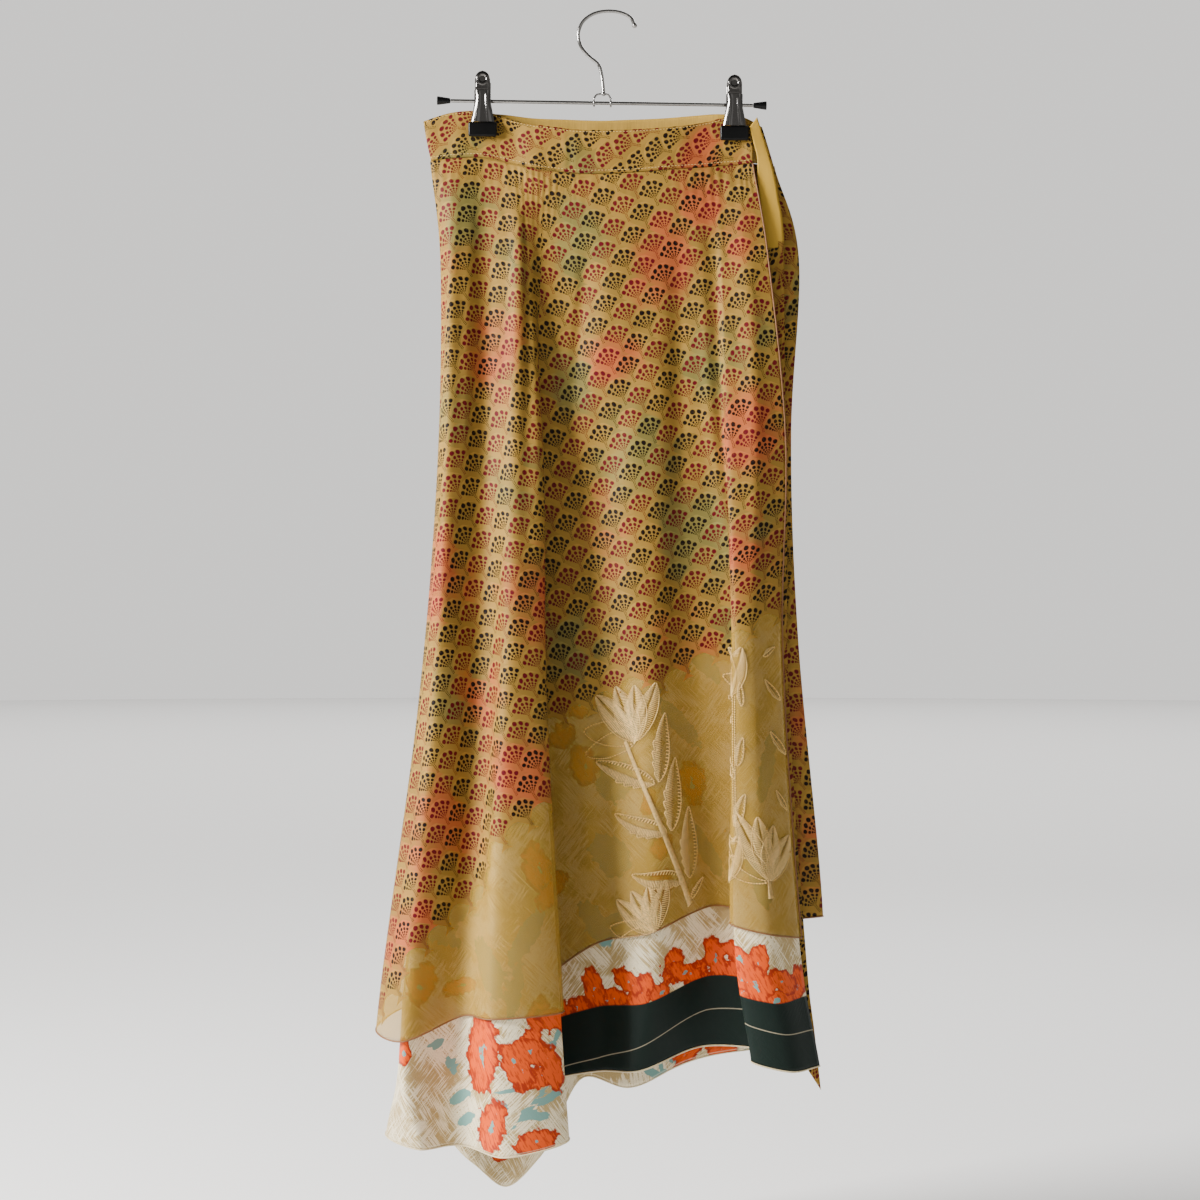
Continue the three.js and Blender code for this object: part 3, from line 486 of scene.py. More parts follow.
class Cloth:
    """A stretch of cloth as a grid of points: rows run down and columns run clockwise from above."""

    def __init__(self, folds, points):
        self.folds = np.asarray(folds, float)
        self.points = points
        self.across = lengths(points, 1)
        self.down = lengths(points, 0)
        facing = np.cross(np.gradient(points, axis=1), np.gradient(points, axis=0))
        self.facing = facing / np.linalg.norm(facing, axis=2)[..., None]

    def index(self, fold, drop):
        """The grid point at a fold and a drop."""
        column = int(np.argmin(abs(self.folds - fold)))
        return int(np.argmin(abs(self.down[:, column] - drop))), column

    def faces(self):
        """The grid's faces, facing out of the skirt."""
        rows, columns = self.points.shape[:2]
        r, c = np.meshgrid(np.arange(rows - 1), np.arange(columns - 1), indexing="ij")
        first = (r * columns + c).ravel()
        return np.column_stack([first, first + 1, first + columns + 1, first + columns])

    def lay(self, straight_to, turn):
        """Where each point lies on the flat print, in millimetres, seen from outside."""
        column = int(np.argmin(abs(self.folds - straight_to)))
        right = self.across[:, [column]] - self.across
        up = -self.down
        angle = math.radians(turn)
        return np.stack([right * math.cos(angle) - up * math.sin(angle),
                         right * math.sin(angle) + up * math.cos(angle)], axis=2)

    def walk(self, row, column, right, up):
        """The point, and the way out there, so far right and up along the cloth from a grid point."""
        rows, columns = self.points.shape[:2]
        down = np.interp(self.down[row, column] - up, self.down[:, column], np.arange(rows))
        near = int(round(float(down)))
        across = np.interp(self.across[near, column] - right, self.across[near], np.arange(columns))
        r, c = min(int(down), rows - 2), min(int(across), columns - 2)
        fr, fc = down - r, across - c
        weights = ((1 - fr) * (1 - fc), (1 - fr) * fc, fr * (1 - fc), fr * fc)
        corners = ((r, c), (r, c + 1), (r + 1, c), (r + 1, c + 1))
        at = sum(w * self.points[k] for w, k in zip(weights, corners))
        out = sum(w * self.facing[k] for w, k in zip(weights, corners))
        return at, out / np.linalg.norm(out)


def layer_cloth(inner, start, stop):
    """One panel of a layer, between two folds, from the waist seam to the layer's hem."""
    columns, rows = INNER_GRID if inner else OUTER_GRID
    levels = np.linspace(0, INNER_HEM if inner else OUTER_HEM, rows)
    folds = np.linspace(start, stop, columns)
    found = [places_on(section, folds) for section in fold_sections(levels, inner)]
    points = np.array([points for points, out in found])
    out = np.array([out for points, out in found])
    if inner:
        free = np.minimum(1, levels / 2)
        offset = INNER_OFFSET_SEAM + (INNER_OFFSET_FREE - INNER_OFFSET_SEAM) * free
    else:
        offset = np.full(rows, OUTER_OFFSET)
    move = offset[:, None] + relief(folds, lengths(points, 0))
    return Cloth(folds, points + out * move[..., None])


def band_cloth(start, stop):
    """One length of the waistband, from its top edge to the waist seam."""
    columns, rows = BAND_GRID
    folds = np.linspace(start, stop, columns)
    top, top_out = places_on(np.array([row.top for row in FOLDS], float), folds)
    foot, foot_out = places_on(fold_sections([0], False)[0], folds)
    foot[:, 2] += SEAM_GAP
    share = np.linspace(0, 1, rows)[:, None, None]
    out = top_out * (1 - share) + foot_out * share
    wave = 0.35 * np.sin(place_of(folds) / 8.5 + 2 * np.sin(place_of(folds) / 37))
    belly = np.sin(math.pi * share) * (0.25 + wave[None, :, None])
    return Cloth(folds, top * (1 - share) + foot * share + out * belly)


def piece_from(name, points, faces):
    """A mesh piece in the scene, from points in millimetres."""
    mesh = bpy.data.meshes.new(name)
    mesh.from_pydata((np.asarray(points).reshape(-1, 3) * MM).tolist(), [], faces)
    mesh.shade_smooth()
    piece = bpy.data.objects.new(name, mesh)
    bpy.context.collection.objects.link(piece)
    return piece


def paint(piece, name, domain, values):
    """Stores three values for each point or face corner, for the piece's material to read."""
    attribute = piece.data.attributes.new(name, "FLOAT_VECTOR", domain)
    attribute.data.foreach_set("vector", np.asarray(values, np.float32).ravel())


def select(piece):
    """Makes a piece the active one, and selects it alone."""
    bpy.ops.object.select_all(action="DESELECT")
    bpy.context.view_layer.objects.active = piece
    piece.select_set(True)


def thicken(piece, thickness, offset=-1, lining=0):
    """Gives a sheet its thickness, with its own material inside where there is a lining."""
    select(piece)
    wall = piece.modifiers.new("wall", "SOLIDIFY")
    wall.thickness = thickness
    wall.offset = offset
    wall.material_offset = lining
    wall.material_offset_rim = lining
    bpy.ops.object.modifier_apply(modifier=wall.name)


def dress(piece, slot, *materials):
    """Gives a piece its materials and parents it to the root body; the slot is not used."""
    for material in materials:
        piece.data.materials.append(material)
    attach(piece, "root")


def print_uv(cloth, lays, fan_size):
    """For each corner of the grid's faces, its place on the print and the line where the print ends."""
    faces = cloth.faces()
    columns = cloth.points.shape[1]
    middle = cloth.folds[faces[:, 0] % columns] / 2 + cloth.folds[faces[:, 1] % columns] / 2
    uv = np.zeros((len(faces), 4, 2))
    edge = np.zeros((len(faces), 4, 3))
    for lay in lays:
        flat = cloth.lay(lay.straight_to, lay.turn)
        here = (middle >= lay.start) & (middle < lay.stop)
        uv[here] = flat.reshape(-1, 2)[faces[here]]
        if lay.edge_a is None:
            edge[here] = (0, 0, 1)
            continue
        a, b = (flat[cloth.index(*place)] / fan_size for place in (lay.edge_a, lay.edge_b))
        way = b - a
        normal = np.array([-way[1], way[0]]) / np.hypot(*way)
        normal *= np.sign(normal[1])
        edge[here] = (*normal, -normal.dot(a - 0.5))
    return uv, edge


def wash_at(cloth):
    """Coral and leaf green washes at each point, and a slow change of tone."""
    place = place_of(cloth.folds)[None, :] + np.zeros_like(cloth.down)
    coral, leaf = np.zeros_like(place), np.zeros_like(place)
    for wash in WASHES:
        away = ((place - place_of(wash.fold)) ** 2 + (cloth.down - wash.drop) ** 2) / wash.spread ** 2
        soft = np.exp(-away ** 1.3)
        coral = np.maximum(coral, wash.coral * soft)
        leaf = np.maximum(leaf, wash.leaf * soft)
    tone = 0.5 + 0.25 * np.sin(place / 47 + 1.3 * np.sin(cloth.down / 90)) + 0.25 * np.sin(cloth.down / 61)
    return np.stack([coral, leaf, tone], axis=2)


def tube(name, path, radius, sides=6):
    """A closed round cord along a path, in millimetres."""
    path = np.asarray(path, float)
    way = np.gradient(path, axis=0)
    way /= np.linalg.norm(way, axis=1)[:, None]
    side = np.cross(way, np.array([0.31, 0.94, 0.17]))
    side /= np.linalg.norm(side, axis=1)[:, None]
    other = np.cross(way, side)
    turns = np.arange(sides) * 2 * math.pi / sides
    rings = path[:, None] + radius * (np.cos(turns)[None, :, None] * side[:, None]
                                      + np.sin(turns)[None, :, None] * other[:, None])
    faces = []
    for r in range(len(path) - 1):
        for s in range(sides):
            t = (s + 1) % sides
            faces.append((r * sides + s, (r + 1) * sides + s, (r + 1) * sides + t, r * sides + t))
    points = np.vstack([rings.reshape(-1, 3), path[0], path[-1]])
    first, last, end = len(points) - 2, len(points) - 1, (len(path) - 1) * sides
    for s in range(sides):
        t = (s + 1) % sides
        faces.append((first, s, t))
        faces.append((last, end + t, end + s))
    piece = piece_from(name, points, faces)
    piece.data.validate()
    recalculate(piece)
    return piece


def recalculate(piece):
    """Turns all faces of a closed piece outwards."""
    select(piece)
    bpy.ops.object.mode_set(mode="EDIT")
    bpy.ops.mesh.select_all(action="SELECT")
    bpy.ops.mesh.normals_make_consistent(inside=False)
    bpy.ops.object.mode_set(mode="OBJECT")


def grains(name, stitches, height):
    """Single stitches as one piece: each is a slim grain from one point to another, with its own width."""
    # A stitch past the cloth's edge has no length and is left out
    stitches = [stitch for stitch in stitches if np.linalg.norm(stitch[1] - stitch[0]) > SHORTEST_STITCH]
    start, end, out = (np.array([stitch[i] for stitch in stitches], float) for i in range(3))
    width = np.array([stitch[3] for stitch in stitches])[:, None]
    way = end - start
    side = np.cross(way, out)
    side /= np.linalg.norm(side, axis=1)[:, None]
    rings = []
    half = side * width / 2 * 0.9
    for share in (0.22, 0.78):
        middle = start + way * share
        rings += [middle + half, middle + out * height, middle - half, middle - out * height * 0.15]
    points = np.stack([start, *rings, end], axis=1)
    one = [(0, 2, 1), (0, 3, 2), (0, 4, 3), (0, 1, 4), (1, 2, 6, 5), (2, 3, 7, 6), (3, 4, 8, 7),
           (4, 1, 5, 8), (9, 5, 6), (9, 6, 7), (9, 7, 8), (9, 8, 5)]
    faces = [tuple(10 * i + k for k in face) for i in range(len(points)) for face in one]
    piece = piece_from(name, points, faces)
    recalculate(piece)
    return piece


def node(tree, kind, inputs=None, **settings):
    """Adds a node with its settings and what it reads: values, sockets, or nodes for their first output."""
    added = tree.nodes.new(kind)
    for name, value in settings.items():
        setattr(added, name, value)
    for key, value in (inputs or {}).items():
        source = value.outputs[0] if isinstance(value, bpy.types.Node) else value
        if isinstance(source, bpy.types.NodeSocket):
            tree.links.new(source, added.inputs[key])
        else:
            added.inputs[key].default_value = source
    return added


def start_material(name):
    """A new material without nodes."""
    material = bpy.data.materials.new(name)
    material.use_nodes = True
    material.node_tree.nodes.clear()
    return material, material.node_tree


def fan_ink(tree, local):
    """Where a fan's dots lie, from the place in millimetres from its point."""
    axes = node(tree, SPLIT, {0: local})
    x, y = axes.outputs["X"], axes.outputs["Y"]

    # Rays of dots that shrink towards the point by a steady ratio
    x_size = node(tree, MATH, {0: x}, operation="ABSOLUTE")
    y_size = node(tree, MATH, {0: y}, operation="ABSOLUTE")
    x_power = node(tree, MATH, {0: x_size, 1: FAN_SQUARENESS}, operation="POWER")
    y_power = node(tree, MATH, {0: y_size, 1: FAN_SQUARENESS}, operation="POWER")
    power = node(tree, MATH, {0: x_power, 1: y_power}, operation="ADD")
    radius = node(tree, MATH, {0: power, 1: 1 / FAN_SQUARENESS}, operation="POWER")
    left = node(tree, MATH, {0: x, 1: -1}, operation="MULTIPLY")
    angle = node(tree, MATH, {0: y, 1: left}, operation="ARCTAN2")
    ray_angle = math.pi / 2 / (FAN_RAYS - 1)
    ray = node(tree, MATH, {0: angle, 1: ray_angle}, operation="DIVIDE")
    inward = node(tree, MATH, {0: radius, 1: FAN_RADIUS}, operation="DIVIDE")
    ring = node(tree, MATH, {0: inward, 1: FAN_SHRINK}, operation="LOGARITHM")
    ray_part = node(tree, MATH, {0: ray, 1: 0.5, 2: -0.5}, operation="WRAP")
    ring_part = node(tree, MATH, {0: ring, 1: 0.5, 2: -0.5}, operation="WRAP")
    off = node(tree, JOIN, {0: ray_part, 1: ring_part})
    off = node(tree, VECTOR, {0: off, 1: (ray_angle, -math.log(FAN_SHRINK), 0)}, operation="MULTIPLY")
    off = node(tree, VECTOR, {0: off}, operation="LENGTH")
    dot = node(tree, RANGE, {0: off.outputs["Value"], 1: 0.160, 2: 0.128, 3: 0, 4: 1})
    middle_ray = (FAN_RAYS - 1) / 2
    in_rays = node(tree, MATH, {0: ray, 1: middle_ray, 2: middle_ray + 0.5}, operation="COMPARE")
    in_rings = node(tree, MATH, {0: ring, 1: 2.5, 2: 3}, operation="COMPARE")
    dot = node(tree, MATH, {0: dot, 1: in_rays}, operation="MULTIPLY")
    dot = node(tree, MATH, {0: dot, 1: in_rings}, operation="MULTIPLY")

    # The tail: two rows of small dots that go on beyond the point
    along = node(tree, VECTOR, {0: local, 1: (math.sqrt(0.5), -math.sqrt(0.5), 0)}, operation="DOT_PRODUCT")
    beside = node(tree, VECTOR, {0: local, 1: (math.sqrt(0.5), math.sqrt(0.5), 0)}, operation="DOT_PRODUCT")
    half = TAIL_STEP / 2
    along_part = node(tree, MATH, {0: along.outputs["Value"], 1: half, 2: -half}, operation="WRAP")
    beside_part = node(tree, MATH, {0: beside.outputs["Value"]}, operation="ABSOLUTE")
    beside_part = node(tree, MATH, {0: beside_part, 1: TAIL_HALF_GAP}, operation="SUBTRACT")
    off = node(tree, JOIN, {0: along_part, 1: beside_part})
    off = node(tree, VECTOR, {0: off}, operation="LENGTH")
    tail = node(tree, RANGE, {0: off.outputs["Value"], 1: 0.52, 2: 0.36, 3: 0, 4: 1})
    in_tail = node(tree, MATH, {0: along.outputs["Value"], 1: TAIL_MIDDLE, 2: TAIL_HALF_LENGTH},
                   operation="COMPARE")
    tail = node(tree, MATH, {0: tail, 1: in_tail}, operation="MULTIPLY")
    return node(tree, MATH, {0: dot, 1: tail}, operation="MAXIMUM")


def printed_silk(name, colour_axis, sheer_alpha):
    """Crepe silk block printed with dotted fans, in red and dark brown by turns along one axis.

    To the eye: dull tan gold with hardly any shine, broken by rows of small dark fans and soft coral and
    green stains, and clear gold gauze below the line where the print ends.
    """
    material, tree = start_material(name)
    look = bpy.context.scene.skirt_print
    step = (look.fan_across / MM, look.fan_down / MM, 0)

    # Each fan's own cell of the print, and whether it lies above the line where the print ends
    place = node(tree, UV_MAP, uv_map="cloth")
    cells = node(tree, VECTOR, {0: place, 1: (1 / look.fan_across, 1 / look.fan_down, 0), 2: (0, 0, 1)},
                 operation="MULTIPLY_ADD")
    rows = node(tree, SPLIT, {0: cells})
    low = node(tree, MATH, {0: rows.outputs["Y"]}, operation="FRACT")
    low = node(tree, MATH, {0: low, 1: TAIL_STRIP}, operation="LESS_THAN")
    moved = node(tree, VECTOR, {0: (-TAIL_SHIFT, 0, 0), "Scale": low}, operation="SCALE")
    own = node(tree, VECTOR, {0: cells, 1: moved}, operation="ADD")
    own = node(tree, VECTOR, {0: own}, operation="FLOOR")
    share = node(tree, VECTOR, {0: cells, 1: own}, operation="SUBTRACT")
    point = tuple(-value for value in FAN_POINT) + (0,)
    reach = node(tree, VECTOR, {0: share, 1: step, 2: point}, operation="MULTIPLY_ADD")
    reach = node(tree, VECTOR, {0: reach}, operation="LENGTH")
    beyond = node(tree, MATH, {0: reach.outputs["Value"], 1: SHELL_RADIUS}, operation="GREATER_THAN")
    moved = node(tree, VECTOR, {0: (-1, 1, 0), "Scale": beyond}, operation="SCALE")
    whole = node(tree, VECTOR, {0: own, 1: moved}, operation="ADD")
    share = node(tree, VECTOR, {0: cells, 1: whole}, operation="SUBTRACT")
    edge = node(tree, ATTRIBUTE, attribute_name="print_edge")
    side = node(tree, VECTOR, {0: whole, 1: edge.outputs["Vector"]}, operation="DOT_PRODUCT")
    printed = node(tree, MATH, {0: side.outputs["Value"], 1: 0}, operation="GREATER_THAN")

    # The place from the fan's point in millimetres, a little uneven as a hand block prints
    wobble = node(tree, NOISE, {"Vector": place, "Scale": 230, "Detail": 1})
    shift = node(tree, VECTOR, {0: wobble.outputs["Color"], 1: (1.1, 1.1, 0), 2: (-0.55, -0.55, 0)},
                 operation="MULTIPLY_ADD")
    local = node(tree, VECTOR, {0: share, 1: step, 2: point}, operation="MULTIPLY_ADD")
    local = node(tree, VECTOR, {0: local, 1: shift}, operation="ADD")
    ink = fan_ink(tree, local)
    ink = node(tree, MATH, {0: ink, 1: printed}, operation="MULTIPLY")
    faded = node(tree, NOISE, {"Vector": place, "Scale": 420, "Detail": 2})
    faded = node(tree, RANGE, {0: faded, 1: 0.3, 2: 0.5, 3: 0.88, 4: 1})
    ink = node(tree, MATH, {0: ink, 1: faded}, operation="MULTIPLY")
    number = node(tree, SPLIT, {0: whole})
    turn = node(tree, MATH, {0: number.outputs[colour_axis], 1: 2}, operation="FLOORED_MODULO")

    # Watercolour washes in coral and leaf green, which take each clamshell a little differently
    wash = node(tree, ATTRIBUTE, attribute_name="wash")
    wash = node(tree, SPLIT, {0: wash.outputs["Vector"]})
    chance = node(tree, "ShaderNodeTexWhiteNoise", {"Vector": whole}, noise_dimensions="2D")
    uneven = node(tree, RANGE, {0: chance.outputs["Value"], 3: -0.2, 4: 0.2})
    blot = node(tree, NOISE, {"Vector": place, "Scale": 38, "Detail": 3})
    blot = node(tree, RANGE, {0: blot, 1: 0.3, 2: 0.7, 3: -0.16, 4: 0.16})
    blot = node(tree, MATH, {0: blot, 1: uneven}, operation="ADD")
    coral = node(tree, MATH, {0: wash.outputs["X"], 1: blot}, operation="ADD")
    coral = node(tree, RANGE, {0: coral, 1: 0.25, 2: 0.9, 3: 0, 4: 0.72},
                 interpolation_type="SMOOTHSTEP")
    leaf = node(tree, MATH, {0: wash.outputs["Y"], 1: blot}, operation="SUBTRACT")
    leaf = node(tree, RANGE, {0: leaf, 1: 0.25, 2: 0.9, 3: 0, 4: 0.75},
                interpolation_type="SMOOTHSTEP")

    # The clamshell behind each fan: its own tone, with a pale rim round its top
    tone = node(tree, RANGE, {0: chance.outputs["Value"], 3: 0.82, 4: 1.06})
    rim = node(tree, MATH, {0: reach.outputs["Value"], 1: SHELL_RADIUS - SHELL_RIM, 2: SHELL_RIM},
               operation="COMPARE")
    shell = node(tree, MIX, {0: rim, 2: tone, 3: 1.16})
    ground = node(tree, MIX, {0: leaf, 6: look.ground, 7: look.leaf}, data_type="RGBA")
    ground = node(tree, MIX, {0: coral, 6: ground.outputs[2], 7: look.coral}, data_type="RGBA")
    ground = node(tree, VECTOR, {0: ground.outputs[2], "Scale": shell}, operation="SCALE")

    # The sheer border's gold, streaked along the warp
    body = node(tree, COORDINATES)
    long_place = node(tree, MAPPING, {"Vector": body.outputs["Object"], "Scale": (220, 220, 7)})
    streak = node(tree, NOISE, {"Vector": long_place, "Scale": 1, "Detail": 3})
    streak = node(tree, RANGE, {0: streak, 1: 0.3, 2: 0.7, 3: 0.96, 4: 1.05})
    sheer = node(tree, VECTOR, {0: look.sheer[:3], "Scale": streak}, operation="SCALE")
    cloth = node(tree, MIX, {0: printed, 6: sheer, 7: ground}, data_type="RGBA")
    ink_colour = node(tree, MIX, {0: turn, 6: look.red, 7: look.black}, data_type="RGBA")
    cloth = node(tree, MIX, {0: ink, 6: cloth.outputs[2], 7: ink_colour.outputs[2]}, data_type="RGBA")
    alpha = node(tree, RANGE, {0: printed, 3: sheer_alpha, 4: 1})

    # Soft crinkles, and the crepe's pebbled grain over them
    crinkle = node(tree, NOISE, {"Vector": place, "Scale": 52, "Detail": 2})
    normal = node(tree, BUMP, {"Height": crinkle, "Distance": 0.0012, "Strength": 0.5})
    grain = node(tree, NOISE, {"Vector": place, "Scale": 1500, "Detail": 1})
    normal = node(tree, BUMP,
                  {"Height": grain, "Distance": 0.0001, "Strength": 0.35, "Normal": normal})
    surface = node(tree, SURFACE, {
        "Base Color": cloth.outputs[2], "Alpha": alpha, "Roughness": 0.6, "Specular IOR Level": 0.1,
        "Sheen Weight": 0.03, "Sheen Roughness": 0.4, "Normal": normal})
    node(tree, "ShaderNodeOutputMaterial", {"Surface": surface})
    return material


def ivory_silk():
    """Beige jacquard silk with a woven silvery hatching, painted with orange flowers and grey-green leaves.

    To the eye: a pale, crosswise brushed ground with a faint lustre, under flat ragged daubs of colour.
    """
    material, tree = start_material("Ivory jacquard silk")
    look = bpy.context.scene.skirt_inner
    place = node(tree, UV_MAP, uv_map="cloth")

    # Brush strokes two ways across each other, each in its own patches
    cloth = look.beige
    strokes = 0
    for turn, patch_at in ((38, (0, 0, 0)), (-44, (0.31, 0.17, 0))):
        slanted = node(tree, MAPPING, {
            "Vector": place, "Rotation": (0, 0, math.radians(turn)), "Scale": (0.0012, 0.024, 1)},
            vector_type="TEXTURE")
        brushed = node(tree, NOISE, {"Vector": slanted, "Scale": 1, "Detail": 2})
        moved = node(tree, VECTOR, {0: place, 1: patch_at}, operation="ADD")
        patch = node(tree, NOISE, {"Vector": moved, "Scale": 30, "Detail": 2})
        patch = node(tree, RANGE, {0: patch, 1: 0.36, 2: 0.62, 3: -0.16, 4: 0.1})
        brushed = node(tree, MATH, {0: brushed, 1: patch}, operation="ADD")
        brushed = node(tree, RANGE, {0: brushed, 1: 0.48, 2: 0.58})
        strokes = node(tree, MATH, {0: brushed, 1: strokes}, operation="MAXIMUM")
    cloth = node(tree, MIX, {0: strokes, 6: cloth, 7: look.ivory}, data_type="RGBA")
    grain = node(tree, NOISE, {"Vector": place, "Scale": 900, "Detail": 1})
    tone = node(tree, RANGE, {0: grain, 1: 0.3, 2: 0.7, 3: 0.86, 4: 1.12})
    cloth = node(tree, VECTOR, {0: cloth.outputs[2], "Scale": tone}, operation="SCALE")

    # Painted leaves, then petals with ragged edges, red outside, orange within and a hatched heart
    ragged = node(tree, NOISE, {"Vector": place, "Scale": 130, "Detail": 4})
    ragged = node(tree, VECTOR, {0: ragged.outputs["Color"], 1: (1.1, 0.8, 0), 2: (-0.55, -0.4, 0)},
                  operation="MULTIPLY_ADD")
    daub = node(tree, MAPPING,
                {"Vector": place, "Rotation": (0, 0, math.radians(24)), "Scale": (0.0022, 0.009, 1)},
                vector_type="TEXTURE")
    daub = node(tree, NOISE, {"Vector": daub, "Scale": 1, "Detail": 2})
    for name, inner_colour, outer_colour in (
            ("leaves", look.stem, look.stem), ("petals_a", look.flower, look.flower_dark),
            ("petals_b", look.flower, look.flower_dark)):
        spot = node(tree, ATTRIBUTE, attribute_name=name)
        spot = node(tree, VECTOR, {0: spot.outputs["Vector"], 1: (1, 1, 0)}, operation="MULTIPLY")
        spot = node(tree, VECTOR, {0: spot, 1: ragged}, operation="ADD")
        away = node(tree, VECTOR, {0: spot}, operation="LENGTH")
        inside = node(tree, RANGE, {0: away.outputs["Value"], 1: 1.04, 2: 0.96})
        rim = node(tree, MATH, {0: away.outputs["Value"], 1: daub}, operation="ADD")
        rim = node(tree, RANGE, {0: rim, 1: 1.18, 2: 1.38, 4: 0.8})
        veins = node(tree, RANGE, {0: daub, 1: 0.52, 2: 0.6, 4: 0.5})
        rim = node(tree, MATH, {0: rim, 1: veins}, operation="MAXIMUM")
        petal = node(tree, MIX, {0: rim, 6: inner_colour, 7: outer_colour},
                     data_type="RGBA")
        heart = node(tree, VECTOR, {0: spot, 1: (3.4, 1.7, 0)}, operation="MULTIPLY")
        heart = node(tree, VECTOR, {0: heart}, operation="LENGTH")
        heart = node(tree, MATH, {0: heart.outputs["Value"], 1: daub}, operation="ADD")
        heart = node(tree, RANGE, {0: heart, 1: 1.0, 2: 0.9})
        petal = node(tree, MIX, {0: heart, 6: petal.outputs[2], 7: look.stem},
                     data_type="RGBA")
        cloth = node(tree, MIX, {0: inside, 6: cloth, 7: petal.outputs[2]},
                     data_type="RGBA").outputs[2]

    # The dark border above the hem, and the pale thread line that crosses it
    hem = node(tree, ATTRIBUTE, attribute_name="hem")
    hem = node(tree, SPLIT, {0: hem.outputs["Vector"]})
    above = node(tree, MATH, {0: hem.outputs["X"], 1: hem.outputs["Y"]}, operation="SUBTRACT")
    border = node(tree, RANGE, {0: above, 1: 0.0006, 2: -0.0006})
    cloth = node(tree, MIX, {0: border, 6: cloth, 7: look.border}, data_type="RGBA")
    line = node(tree, MATH, {0: hem.outputs["X"], 1: hem.outputs["Z"]}, operation="SUBTRACT")
    line = node(tree, MATH, {0: line}, operation="ABSOLUTE")
    line = node(tree, RANGE, {0: line, 1: 0.0006, 2: 0.0004, 3: 0, 4: 0.35})
    cloth = node(tree, MIX, {0: line, 6: cloth.outputs[2], 7: look.ivory}, data_type="RGBA")

    relief_height = node(tree, BUMP, {"Height": strokes, "Distance": 0.0002, "Strength": 0.4})
    surface = node(tree, SURFACE, {
        "Base Color": cloth.outputs[2], "Roughness": 0.5, "Specular IOR Level": 0.18,
        "Sheen Weight": 0.03, "Normal": relief_height})
    node(tree, "ShaderNodeOutputMaterial", {"Surface": surface})
    return material


def plain_silk(name, base, roughness, streak=(900, 900, 60), darkest=0.86):
    """Silk in one colour: a soft lustre, with streaks along the warp or the mottling of close stitches."""
    material, tree = start_material(name)
    place = node(tree, COORDINATES)
    streaks = node(tree, MAPPING, {"Vector": place.outputs["Object"], "Scale": streak})
    streaks = node(tree, NOISE, {"Vector": streaks, "Scale": 1, "Detail": 2})
    tone = node(tree, RANGE, {0: streaks, 1: 0.3, 2: 0.7, 3: darkest, 4: 1.1})
    tinted = node(tree, VECTOR, {0: base[:3], "Scale": tone}, operation="SCALE")
    bump = node(tree, BUMP, {"Height": streaks, "Distance": 0.0002, "Strength": 0.3})
    surface = node(tree, SURFACE, {
        "Base Color": tinted, "Roughness": roughness, "Sheen Weight": 0.03, "Normal": bump})
    node(tree, "ShaderNodeOutputMaterial", {"Surface": surface})
    return material


def chrome(name, base):
    """Polished chrome plate: sharp dark and bright reflections, a little clouded by handling. The base
    colour given is darker than real chrome, a painted dark reflection standing in for dark surroundings.
    """
    material, tree = start_material(name)
    place = node(tree, COORDINATES)
    cloud = node(tree, NOISE, {"Vector": place.outputs["Object"], "Scale": 160, "Detail": 2})
    rough = node(tree, RANGE, {0: cloud, 1: 0.3, 2: 0.7, 3: 0.08, 4: 0.2})
    surface = node(tree, SURFACE, {
        "Base Color": linear(base), "Metallic": 1, "Roughness": rough})
    node(tree, "ShaderNodeOutputMaterial", {"Surface": surface})
    return material


def black_rubber():
    """Dipped black rubber: deep black with a soft, slightly rippled shine."""
    made = bpy.data.materials.get("Black rubber")
    if made:
        return made
    material, tree = start_material("Black rubber")
    place = node(tree, COORDINATES)
    ripple = node(tree, NOISE, {"Vector": place.outputs["Object"], "Scale": 420, "Detail": 1})
    bump = node(tree, BUMP, {"Height": ripple, "Distance": 0.0003, "Strength": 0.3})
    surface = node(tree, SURFACE, {
        "Base Color": linear("#020202"), "Roughness": 0.34, "Specular IOR Level": 0.2, "Normal": bump})
    node(tree, "ShaderNodeOutputMaterial", {"Surface": surface})
    return material


def glass_bead():
    """Small glass beads lined with gold: a warm brown with one sharp highlight each."""
    material, tree = start_material("Gold glass beads")
    surface = node(tree, SURFACE, {"Base Color": linear("#8E6A2C"), "Roughness": 0.12, "Coat Weight": 0.6})
    node(tree, "ShaderNodeOutputMaterial", {"Surface": surface})
    return material


def petal_spots(cloth, way, border):
    """For each set of petals, each point's place in the nearest one, which ends 1 away from its middle."""
    seen = np.stack([cloth.points[..., 0] * way, cloth.points[..., 2]], axis=2)
    sets = {key: list(petals) for key, petals in PETALS.items()}
    across = cloth.across[-1]
    for number, place in enumerate(np.arange(10, across[-1] - 8, ROW_STEP)):
        column = int(np.argmin(abs(across - place)))
        if border[column] < ROW_LEAST_BORDER:
            continue
        lean, length, width, up = ROW_FLOWERS[number % len(ROW_FLOWERS)]
        above_hem = cloth.down[-1, column] - cloth.down[:, column]
        row = int(np.argmin(abs(above_hem - border[column] - up)))
        chosen = ("petals_a", "petals_b")[number % 2]
        sets[chosen].append(Petal(*seen[row, column], lean, length, width))
    spots = {}
    for key, petals in sets.items():
        best = np.full((*seen.shape[:2], 3), 9.0)
        nearest = np.full(seen.shape[:2], 9.0)
        for petal in petals:
            angle = math.radians(petal.lean)
            away = seen - (petal.x, petal.z)
            u = (away[..., 0] * math.cos(angle) - away[..., 1] * math.sin(angle)) / (petal.width / 2)
            v = (away[..., 0] * math.sin(angle) + away[..., 1] * math.cos(angle)) / (petal.length / 2)
            closer = np.hypot(u, v) < nearest
            nearest[closer] = np.hypot(u, v)[closer]
            best[closer] = np.stack([abs(u), abs(v), np.ones_like(u)], axis=2)[closer]
        spots[key] = best
    return spots


